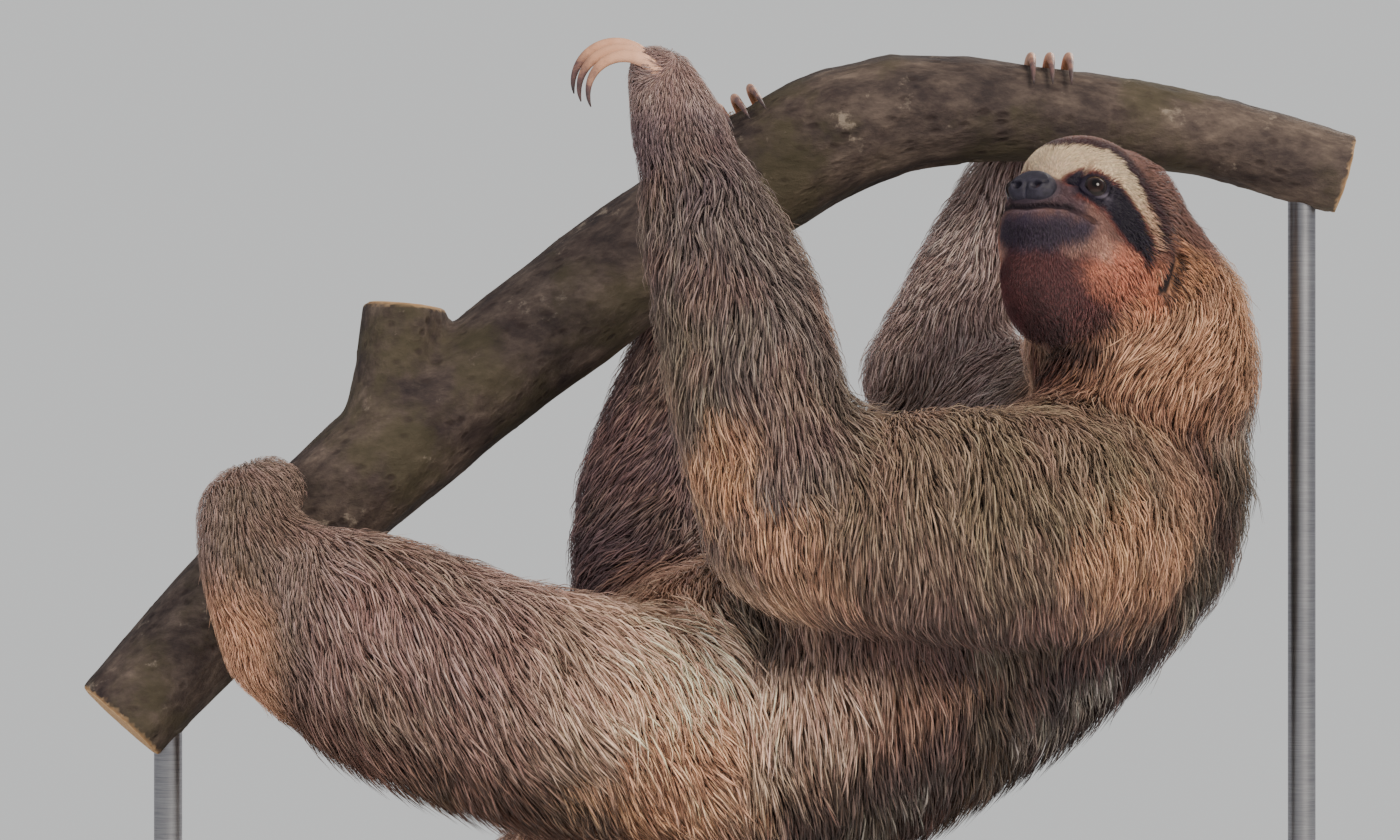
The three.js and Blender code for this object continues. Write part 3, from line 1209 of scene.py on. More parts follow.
        # Painted shade on the limbs' downward faces, partly the fur's own darker tone: brown on the hind legs
        # and mauve-brown under the arms.
        lower = (1 - trunk) * ease(0.3, -0.75, normals[:, 2])
        c = paint(c, lower * ease(-20, -60, world[:, 0]) * 0.88, (84, 56, 43))
        c = paint(c, lower * ease(0, 30, world[:, 0]) * 0.55, (108, 76, 76))
        # Painted shade on the near arm's lower fringe, where it hangs over the trunk.
        arm_fringe_shade = ease(264, 246, world[:, 2]) * ease(0, 25, world[:, 0]) * ease(195, 160, world[:, 0])
        c = paint(c, (1 - trunk) * arm_fringe_shade * ease(0.1, -0.6, normals[:, 2]) * 0.75, (62, 43, 44))
        # Painted shade towards the head end: darker past the shoulder, and darker still low on the trunk
        # there.
        c = paint(c, ease(218, 246, world[:, 0]) * ease(392, 356, world[:, 2]) * 0.65, (76, 62, 58))
        c = paint(c, ease(198, 232, world[:, 0]) * ease(300, 268, world[:, 2]) * 0.8, (54, 44, 43))
        wrist = ease(425, 462, world[:, 2]) * ease(498, 486, world[:, 2]) * ease(-20, -40, world[:, 1])
        c = paint(c, (1 - trunk) * wrist * ease(0, -20, world[:, 0]) * 0.6, (104, 84, 90))
        mottle = ease(0.56, 0.74, blotch) * ease(0.45, 0.8, backward) * trunk
        c = paint(c, mottle * 0.7, (166, 152, 138))
        middle = ease(15, 6, np.abs(world[:, 1])) * ease(0.45, 0.8, backward) * trunk
        c = paint(c, middle * 0.85, (58, 44, 40))
        # The fold between throat and arm darker and redder: painted shade in the crease, with a reddish tone.
        fold = ease(388, 366, world[:, 2]) * ease(250, 215, world[:, 0]) * ease(0.1, -0.5, normals[:, 1])
        c = paint(c, fold * trunk * ease(330, 350, world[:, 2]) * 0.85, (98, 54, 44))
        spot = np.linalg.norm((world - self.navel_at) * [1, 0, 1], axis=1)
        c = paint(c, (1 - ease(2.4, 4.5, spot)) * ease(0.2, -0.3, normals[:, 1]) * trunk, (62, 46, 48))
        c = paint(c, ease(0.5, 0.8, soft) * 0.3, (108, 96, 70))
        c = paint(c, ease(0.5, 0.75, grain(world, 17, 13)) * 0.25, (150, 108, 96))
        # Lays the patches of painted sunlight.
        for at, reach, share in self.sunlit_spots:
            near = np.linalg.norm((world - np.array(at)) * [1, 0.6, 1], axis=1)
            near += (grain(world, 12, 14) - 0.5) * reach
            c = paint(c, (1 - ease(reach * 0.3, reach * 1.15, near)) * share, self.sunlit_tint)
        heel = 1 - ease(14, 38, np.linalg.norm((world - self.heel_at) * [1, 0.5, 0.6], axis=1))
        return paint(c, heel * 0.9, (224, 172, 134))


MARKINGS = Markings()


@dataclass
class Hide:
    """The bare body as arrays, for the coat to grow on. Places are in millimetres.

    Attributes:
        points: Vertices.
        normals: Vertex normals.
        triangles: Vertex numbers, three to a face.
        uv: Corner places on the unwrap, three to a face.
        weights: Each vertex's share of each part in FLESH.
        flow: The way the hair lies at each vertex.
    """

    points: Array
    normals: Array
    triangles: Array
    uv: Array
    weights: Array
    flow: Array

    def blend(self, name: str) -> Array:
        """One of the parts' coat sizes at each vertex."""
        return self.weights @ np.array([getattr(PELAGES[part], name) for part in FLESH], float)

    def colours(self) -> tuple[Array, Array]:
        """The coat's colour and its palest colour at each vertex, with all markings.

        Returns:
            Two arrays of linear colours.
        """
        base = self.weights @ np.array([linear(PELAGES[part].colour) for part in FLESH])
        pale = self.weights @ np.array([linear(PELAGES[part].pale) for part in FLESH])
        head, trunk = share_of(self.weights, HEAD_PARTS), share_of(self.weights, TRUNK_PARTS)
        body = MARKINGS.body(self.points, self.normals, base, trunk)
        lift = pale / np.maximum(base, 0.02)
        face = MARKINGS.head(self.points)
        share = ease(0.35, 0.75, head)[:, None]
        return body + (face - body) * share, body * lift * (1 - share) + face * 1.45 * share


@dataclass
class Skin:
    """One skin from nose to tail, inside the solids by the depth of the coat. Sizes are in millimetres.

    Attributes:
        voxel: The faces' size before the head gets finer ones.
        smoothing: Rounds of smoothing that melt the solids together.
        spread: Rounds that run one part's coat into the next.
        swell: How far the solids are swelled, so that they meet.
        combing: Rounds that even out the way the hair lies.
        toe: Half sizes of the toe at each claw's root.
        toe_back: How far the toe's middle lies behind the root.
        finer: The reach from the head's middle, the least place forward of it and the reach from each eye
            of each step to finer faces.
    """

    voxel: float = 3.6
    smoothing: int = 14
    spread: int = 26
    swell: float = 0.5
    combing: int = 4
    toe: Triple = (7.6, 7.6, 12.5)
    toe_back: float = 4.0
    finer: tuple[tuple[float, float, float], ...] = ((62, -80, 0), (58, 8, 0), (0, 0, 13))
    finish: SkinFinish = field(default_factory=SkinFinish)

    def build(self) -> tuple[Piece, Hide]:
        """Makes the skin.

        Returns:
            The piece, and its arrays for the coat.
        """
        solids = Bench.copy_of(FLESH, "sloth_skin")
        tree, part_of = self._parts()
        self._add_toes(solids)
        Bench.apply(solids, "DISPLACE", strength=self.swell * MM, mid_level=0.0)
        Bench.apply(solids, "REMESH", mode="VOXEL", voxel_size=self.voxel * MM, adaptivity=0.0)
        Bench.apply(solids, "SMOOTH", factor=0.5, iterations=self.smoothing)
        self._refine(solids)
        weights = self._weights(solids, tree, part_of)
        self._draw_in(solids, weights)
        solids.data.shade_smooth()
        Bench.apply(solids, "TRIANGULATE")
        hide = self._hide(solids, weights)
        colour, _ = hide.colours()
        Bench.add_attribute(solids.data, "tint", colour * self._shade_under_coat(hide)[:, None])
        solids.data.materials.append(self.finish.make())
        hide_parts(*FLESH)
        return solids, hide

    @staticmethod
    def _parts() -> tuple[BVHTree, Array]:
        """Gathers the flesh's solids, to tell which part a place belongs to.

        Returns:
            A search tree of their faces, and each face's part.
        """
        vertices: list[Vector] = []
        faces: list[tuple[int, ...]] = []
        part_of: list[int] = []
        for number, name in enumerate(FLESH):
            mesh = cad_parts[name].data
            start = len(vertices)
            vertices += [v.co.copy() for v in mesh.vertices]
            faces += [tuple(start + i for i in p.vertices) for p in mesh.polygons]
            part_of += [number] * len(mesh.polygons)
        return BVHTree.FromPolygons(vertices, faces), np.array(part_of)

    def _add_toes(self, solids: Piece) -> None:
        """Joins a toe to the hand or foot at the root of each claw, for the claw to come out of.

        Args:
            solids: The copy of the flesh's solids.
        """
        toes = []
        for claw in Claws.all():
            at, ahead = claw.root(), claw.heading(0.0)
            Bench.clear()
            bpy.ops.mesh.primitive_uv_sphere_add(
                segments=16,
                ring_count=12,
                radius=1,
                location=tuple((at - ahead * self.toe_back) * MM),
                rotation=Vector(ahead).to_track_quat("Z", "Y").to_euler(),
                scale=tuple(np.array(self.toe) * MM),
            )
            toes.append(Bench.newest("toe"))
        Bench.clear()
        for toe in toes:
            toe.select_set(True)
        solids.select_set(True)
        bpy.context.view_layer.objects.active = solids
        bpy.ops.object.join()

    def _refine(self, skin: Piece) -> None:
        """Gives the head finer faces, the front of the face finer ones still, and the eyes the finest.

        Args:
            skin: The piece.
        """
        eyes = [FACE.eye_at, FACE.eye_at * np.array([1, -1, 1])]
        for reach, ahead, eye_reach in self.finer:
            own = HEAD.inward(Bench.read(skin.data.polygons, "center", 3) / MM)
            near = (np.linalg.norm(own, axis=1) < reach) & (own[:, 0] > ahead) & (own[:, 2] > -50)
            for eye in eyes:
                near |= np.linalg.norm(own - eye, axis=1) < eye_reach
            Bench.pick(skin, "polygons", near)
            Bench.edit(skin, "FACE")
            bpy.ops.mesh.subdivide(number_cuts=1, smoothness=0)
            Bench.close()
            log.info("skin refined to %d faces", len(skin.data.polygons))

    def _weights(self, skin: Piece, tree: BVHTree, part_of: Array) -> Array:
        """Each vertex's share of each part, spread so that one part's coat runs into the next.

        Args:
            skin: The piece.
            tree: The solids' faces.
            part_of: Each face's part.

        Returns:
            Shares, a column for each part in FLESH.
        """
        points = Bench.points(skin)
        nearest = [tree.find_nearest(Vector(p))[2] for p in points * MM]
        weights = np.zeros((len(points), len(FLESH)))
        weights[np.arange(len(points)), part_of[nearest]] = 1
        return self._spread(skin, weights, self.spread)

    @staticmethod
    def _spread(skin: Piece, values: Array, rounds: int) -> Array:
        """Evens out values over neighbouring vertices.

        Args:
            skin: The piece.
            values: A row for each vertex.
            rounds: How many times they are evened.

        Returns:
            The values.
        """
        a, b = Bench.read(skin.data.edges, "vertices", 2, np.int32).T
        count = len(values)
        around = np.maximum(np.bincount(a, minlength=count) + np.bincount(b, minlength=count), 1)
        for _ in range(rounds):
            for column in range(values.shape[1]):
                v = values[:, column]
                if v.any():
                    total = np.bincount(a, v[b], count) + np.bincount(b, v[a], count)
                    values[:, column] = 0.5 * v + 0.5 * total / around
        return values

    def _draw_in(self, skin: Piece, weights: Array) -> None:
        """Draws the skin in by the coat's depth, and gives the head its own shape.

        Args:
            skin: The piece.
            weights: Each vertex's share of each part.
        """
        points, normals = Bench.points(skin), Bench.normals(skin)
        depth = weights @ np.array([PELAGES[part].depth for part in FLESH])
        body = points - normals * depth[:, None]
        share = share_of(weights, HEAD_PARTS)
        share = ease(0.45, 0.8, share) * ease(-30, -6, HEAD.inward(points)[:, 0])
        chosen = share > 0
        own = HEAD.inward(points[chosen] - normals[chosen] * 2)
        own = settle(own, FACE.skin, 9)
        head = HEAD.outward(own)
        body[chosen] += (head - body[chosen]) * share[chosen, None]
        Bench.move_points(skin, body)
        Bench.take(skin)
        relaxed = self._spread(skin, Bench.points(skin), 2)
        chosen = share > 0.98
        relaxed[chosen] = HEAD.outward(settle(HEAD.inward(relaxed[chosen]), FACE.skin, 5, 1.0))
        Bench.move_points(skin, relaxed)
        normals = Bench.normals(skin)[chosen]
        own = HEAD.inward(relaxed[chosen])
        own -= (normals @ HEAD.axes.T) * FACE.folds(own)[:, None]
        relaxed[chosen] = HEAD.outward(FACE.open_lids(own))
        Bench.move_points(skin, relaxed)

    def _hide(self, skin: Piece, weights: Array) -> Hide:
        """Unwraps the skin and gathers it as arrays.

        Args:
            skin: The piece.
            weights: Each vertex's share of each part.

        Returns:
            The arrays.
        """
        Bench.edit(skin, "FACE")
        Bench.pick_all()
        bpy.ops.uv.smart_project(angle_limit=math.radians(66), island_margin=0.001)
        Bench.close()
        mesh = skin.data
        mesh.uv_layers[0].name = "OFBake"
        mesh.update()
        triangles = Bench.read(mesh.polygons, "vertices", 3, np.int32)
        uv = Bench.read(mesh.uv_layers[0].uv, "vector", 2).reshape(-1, 3, 2)
        points, normals = Bench.points(skin), Bench.normals(skin)
        flow = unit(self._spread(skin, self._flow(points, normals, weights), self.combing))
        return Hide(points, normals, triangles, uv, weights, flow)

    def _flow(self, points: Array, normals: Array, weights: Array) -> Array:
        """The way the hair lies: down, leaning as each part leans, and back from the nose on the head.

        Args:
            points: The skin's vertices.
            normals: Their normals.
            weights: Each vertex's share of each part.

        Returns:
            Directions along the skin.
        """
        flow = unit(weights @ np.array([PELAGES[part].lean for part in FLESH], float))
        share = share_of(weights, HEAD_PARTS)
        own = HEAD.inward(points)
        tip = HEAD.outward(np.array([58.0, 0.0, -4.0]))
        back = unit(points - tip) * 0.9 + DOWN * (0.35 + 0.5 * ease(-10, -40, own[:, 2]))[:, None]
        for side in (1, -1):
            eye = HEAD.outward(FACE.eye_at * np.array([1, side, 1]))
            away = np.linalg.norm(points - eye, axis=1)
            back += unit(points - eye) * (1.6 * np.exp(-np.maximum(away - 7, 0) / 5))[:, None]
        flow = flow + (unit(back) - flow) * ease(0.2, 0.7, share)[:, None]
        for claw in Claws.all():
            away = np.linalg.norm(points - claw.root(), axis=1)
            flow += claw.heading(0.0) * (2.2 * np.exp(-((away / 9) ** 2)))[:, None]
        flow -= normals * (flow * normals).sum(1, keepdims=True)
        return flow

    @staticmethod
    def _shade_under_coat(hide: Hide) -> Array:
        """How dark the skin is where long hair covers it.

        Args:
            hide: The skin's arrays.

        Returns:
            A factor for each vertex.
        """
        depth = hide.blend("depth")
        own = HEAD.inward(hide.points)
        face = ease(5, 26, own[:, 0]) * ease(60, 50, np.linalg.norm(own, axis=1))
        return 0.92 - 0.22 * ease(2.5, 8, depth) * (1 - face)


@dataclass(frozen=True)
class Hook:
    """Three claws on one hand or foot, as arcs about a middle. Sizes are in millimetres, turns in degrees.

    Attributes:
        limb: The hand or foot.
        about: The middle that the middle claw's arc turns about.
        side: The direction that the turns start from.
        radius: Of the arc.
        turns: Where the arc starts and ends.
        apart: From one claw to the next.
        fan: How far each claw is turned about its root.
        lengths: Each claw's length, as a share of the arc's.
    """

    limb: str
    about: Triple
    side: Triple
    radius: float
    turns: tuple[float, float]
    apart: Triple
    fan: Triple = (0, 0, 0)
    lengths: Triple = (1, 1, 1)


HOOKS = (
    Hook("hand_left", (-59, -87, 499), (1, 0, 0), 20, (48, 198), (1, -9.5, -2), (-7, -2, 3), (1, 0.97, 0.9)),
    Hook("hand_right", (157, 35, 494), (0, 1, 0), 29, (32, 150), (9.5, 0, 0)),
    Hook("foot_left", (-222, -6, 280), (0, -1, 0), 35, (35, 140), (6.5, 2, 6.5)),
    Hook("foot_right", (18, 32, 470), (0, 1, 0), 38, (34, 140), (8, 0, 5)),
)


@dataclass(frozen=True)
class Claws:
    """One claw of three on a hook."""

    hook: Hook
    number: int
    root_radius: float = 3.4
    tip_radius: float = 0.6
    deeper: float = 1.28  # the section's height over its width
    buried: float = 9.0  # the length inside the toe
    sides: int = 20
    steps: int = 28

    @staticmethod
    def all() -> list["Claws"]:
        """All twelve claws."""
        return [Claws(hook, number) for hook in HOOKS for number in (-1, 0, 1)]

    @property
    def name(self) -> str:
        """The solid that this claw stands for."""
        return f"claw_{self.hook.limb}_{self.number + 2}"

    def _axes(self) -> tuple[Array, Array, Array]:
        """The arc's own axes.

        Returns:
            The claw's side, over and along directions.
        """
        side, along = np.array(self.hook.side, float), unit(np.array(self.hook.apart, float))
        over = unit(np.cross(side, along))
        return side, over if over[2] >= 0 else -over, along

    def middle(self) -> Array:
        """The point that the arc turns about."""
        return np.array(self.hook.about, float) + np.array(self.hook.apart, float) * self.number

    def outward(self, share: float | Array) -> Array:
        """The direction from the middle to the arc.

        Args:
            share: A share of the arc's length, or several.

        Returns:
            The direction for each share.
        """
        side, over, _ = self._axes()
        low, high = np.radians(self.hook.turns)
        angle = np.asarray(low + (high - low) * np.asarray(share))[..., None]
        return np.cos(angle) * side + np.sin(angle) * over

    def root(self) -> Array:
        """Where the claw starts."""
        return self.middle() + self.outward(0.0) * self.hook.radius

    def heading(self, share: float) -> Array:
        """The way the claw runs.

        Args:
            share: A share of the arc's length.

        Returns:
            The direction there.
        """
        side, over, _ = self._axes()
        low, high = np.radians(self.hook.turns)
        angle = low + (high - low) * share
        return -math.sin(angle) * side + math.cos(angle) * over

    def build(self, horn: Material) -> Piece:
        """Spins a ring along the arc and draws it out to a point.

        Args:
            horn: The material.

        Returns:
            The claw.
        """
        _, _, along = self._axes()
        turn = math.radians(self.hook.turns[1] - self.hook.turns[0])
        start = -self.buried / (self.hook.radius * turn)
        outward, heading = self.outward(start), self.heading(start)
        Bench.clear()
        frame_axes = [outward, np.cross(heading, outward), heading]
        bpy.ops.mesh.primitive_circle_add(
            vertices=self.sides,
            radius=self.root_radius * MM,
            location=tuple((self.middle() + outward * self.hook.radius) * MM),
            rotation=Matrix([Vector(a) for a in frame_axes]).transposed().to_euler(),
        )
        claw = Bench.newest(self.name.replace("claw_", "horn_"))
        Bench.edit(claw, "VERT")
        Bench.pick_all()
        bpy.ops.mesh.spin(
            steps=self.steps,
            angle=turn * (1 - start),
            center=tuple(self.middle() * MM),
            axis=tuple(unit(np.cross(heading, outward))),
            dupli=False,
        )
        Bench.pick_all()
        bpy.ops.mesh.remove_doubles(threshold=0.00001)
        bpy.ops.mesh.fill_holes(sides=0)
        Bench.close()
        share = self._taper(claw)
        Bench.edit(claw, "FACE")
        Bench.close_facing_out()
        Bench.add_attribute(claw.data, "along", share)
        claw.data.shade_smooth()
        claw.data.materials.append(horn)
        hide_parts(self.name)
        return claw

    def _taper(self, claw: Piece) -> Array:
        """Draws each ring in towards the tip, with a flatter underside.

        Args:
            claw: The spun tube.

        Returns:
            Each vertex's share of the length.
        """
        side, over, along = self._axes()
        points = Bench.points(claw) - self.middle()
        low, high = np.radians(self.hook.turns)
        angle = np.arctan2(points @ over, points @ side)
        angle = np.where(angle < low - 1.0, angle + 2 * math.pi, angle)
        share = (angle - low) / (high - low)
        outward = self.outward(share)
        grown = np.clip(share, 0, 1)
        thick = self.root_radius + (self.tip_radius - self.root_radius) * grown**1.5
        thick *= 1 - 0.55 * ease(0.93, 1.0, share)
        across = (points @ along) / self.root_radius
        out = ((points * outward).sum(1) - self.hook.radius) / self.root_radius
        out = np.where(out < 0, out * 0.75, out)
        place = outward * (self.hook.radius + out * thick * self.deeper)[:, None]
        place += along * (across * thick)[:, None] + self.middle()
        fan = math.radians(self.hook.fan[self.number + 1])
        turn = np.array(Matrix.Rotation(fan, 3, Vector(np.cross(side, over))))
        offset = (place - self.root()) * self.hook.lengths[self.number + 1]
        Bench.move_points(claw, self.root() + offset @ turn.T)
        return share


@dataclass(frozen=True)
class Eye:
    """An eye: a ball with a clear bulge in front."""

    side: Side
    bulge: float = 0.5

    def build(self) -> Piece:
        """Makes the eye.

        Returns:
            The piece.
        """
        fold, word = np.array([1, self.side.value, 1]), self.side.word
        at, gaze = HEAD.outward(FACE.eye_at * fold), HEAD.direction(FACE.gaze * fold)
        Bench.clear()
        bpy.ops.mesh.primitive_uv_sphere_add(
            segments=48,
            ring_count=32,
            radius=FACE.eye_radius * MM,
            location=tuple(at * MM),
            rotation=Vector(gaze).to_track_quat("Z", "Y").to_euler(),
        )
        eye = Bench.newest(f"eyeball_{word}")
        points = Bench.points(eye) - at
        front = unit(points) @ gaze
        points += gaze * (self.bulge * ease(0.72, 1.0, front))[:, None]
        Bench.move_points(eye, points + at)
        eye.data.shade_smooth()
        eye.data.materials.append(EyeFinish(at, gaze).make(f"eye_{word}"))
        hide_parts(f"eye_{word}")
        return eye


@dataclass(frozen=True)
class Nose:
    """The leather of the nose, with its nostrils."""

    round_faces: int = 112
    rings: int = 72

    def build(self) -> Piece:
        """Makes the nose.

        Returns:
            The piece.
        """
        Bench.clear()
        turn = Matrix([Vector(a) for a in HEAD.axes]).transposed().to_euler()
        bpy.ops.mesh.primitive_uv_sphere_add(
            segments=self.round_faces,
            ring_count=self.rings,
            radius=1,
            location=tuple(HEAD.outward(np.array(FACE.nose_leather.at)) * MM),
            rotation=turn,
            scale=tuple(np.array(FACE.nose_leather.half) * MM),
        )
        nose = Bench.newest("nose_pad")
        own = settle(HEAD.inward(Bench.points(nose)), FACE.nose, 6, 0.8)
        Bench.move_points(nose, HEAD.outward(FACE.nostrils(own)))
        Bench.apply(nose, "SMOOTH", factor=0.5, iterations=1)
        nose.data.shade_smooth()
        nose.data.materials.append(LeatherFinish().make())
        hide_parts("nose")
        return nose


@dataclass(frozen=True)
class TuftShape:
    """How finely a tuft is made: a root, three-sided rings and a tip.

    Attributes:
        rings: Each ring's place along the tuft and its width, as shares.
        hold: How much of its height the tuft has reached at each ring and at its tip.
        longer: Its length, as a share of the coat's.
        wider: Its width, as a share of the coat's.
        level: Its least and greatest height in the coat, as shares.
    """

    rings: tuple[tuple[float, float], ...]
    hold: tuple[float, ...]
    longer: float = 1.0
    wider: float = 1.0
    level: tuple[float, float] = (0.15, 1.0)

    @property
    def vertices(self) -> int:
        """Vertices in one tuft."""
        return 3 * len(self.rings) + 2

    def lengths(self) -> Array:
        """The share of the tuft's length between one ring and the next."""
        return np.diff([0.0, *(place for place, _ in self.rings), 1.0])

    def faces(self) -> Array:
        """The triangles of one tuft, facing outwards.

        Returns:
            Vertex numbers, three to a row.
        """
        rows: list[tuple[int, int, int]] = []
        last, tip = 3 * len(self.rings) - 2, self.vertices - 1
        for k in range(3):
            n = (k + 1) % 3
            rows += [(0, 1 + n, 1 + k), (last + n, tip, last + k)]
            for a in range(1, last, 3):
                rows += [(a + k, a + n, a + 3 + n), (a + k, a + 3 + n, a + 3 + k)]
        return np.array(rows)


class Tuft(Enum):
    """The kinds of tuft."""

    FINE = TuftShape(((0.42, 1.0),), (0.8, 0.92), level=(0.1, 0.95))
    LOCK = TuftShape(((0.3, 0.85), (0.62, 1.0)), (0.7, 1.0, 0.95), 1.35, 1.1, (0.6, 1.05))
    SHORT = TuftShape(((0.42, 1.0),), (0.85, 0.95), level=(0.2, 1.0))


@dataclass
class Growth:
    """Tufts of one kind, as rows of arrays. Places are in millimetres.

    Attributes:
        shape: How each tuft is made.
        lines: Points along each tuft.
        normals: The skin's normals at those points.
        width: Each tuft's widest width.
        tint: Each tuft's colour at its root, middle and tip.
        uv: Each root's place on the skin's unwrap.
    """

    shape: TuftShape
    lines: Array
    normals: Array
    width: Array
    tint: Array
    uv: Array

    def rows(self, chosen: Array) -> "Growth":
        """Some of the tufts."""
        picked = (getattr(self, name)[chosen] for name in ("lines", "normals", "width", "tint", "uv"))
        return Growth(self.shape, *picked)

    def triangles(self) -> int:
        """How many triangles the tufts have."""
        return len(self.lines) * len(self.shape.faces())

    def solids(self, patch: float) -> tuple[Array, Array, Array, Array]:
        """Closed tapered solids round the lines.

        Args:
            patch: The width of a tuft's patch on the unwrap.

        Returns:
            Points, colours and places on the unwrap for each vertex, and the triangles.
        """
        shape, n = self.shape, len(self.lines)
        points = np.empty((n, shape.vertices, 3))
        colours = np.empty((n, shape.vertices, 3))
        spots = np.empty((n, shape.vertices, 2))
        ahead = np.gradient(self.lines, axis=1)
        points[:, 0], colours[:, 0], spots[:, 0] = self.lines[:, 0], self.tint[:, 0], self.uv
        spots[:, 0] += [0, -patch / 2]
        for j, (along, swell) in enumerate(shape.rings, start=1):
            side = unit(np.cross(ahead[:, j], self.normals[:, j]))
            up = unit(np.cross(side, ahead[:, j]))
            half = (self.width * swell / 2)[:, None]
            blend = np.array([max(0, 1 - 2 * along), 1 - abs(2 * along - 1), max(0, 2 * along - 1)])
            colour = np.einsum("k,nkc->nc", blend, self.tint)
            for k, place in enumerate((-side * half, up * half * 0.55, side * half)):
                points[:, 3 * j - 2 + k] = self.lines[:, j] + place
                # The ridge is painted lighter and the sides darker: a painted highlight and painted shade
                # across the tuft.
                colours[:, 3 * j - 2 + k] = colour * (1.05 if k == 1 else 0.92)
                spots[:, 3 * j - 2 + k] = self.uv + patch * np.array([(k - 1) / 2, along - 0.5])
        points[:, -1], colours[:, -1], spots[:, -1] = self.lines[:, -1], self.tint[:, 2], self.uv
        spots[:, -1] += [0, patch / 2]
        triangles = shape.faces()[None] + (np.arange(n) * shape.vertices)[:, None, None]
        return points.reshape(-1, 3), colours.reshape(-1, 3), spots.reshape(-1, 2), triangles.reshape(-1, 3)


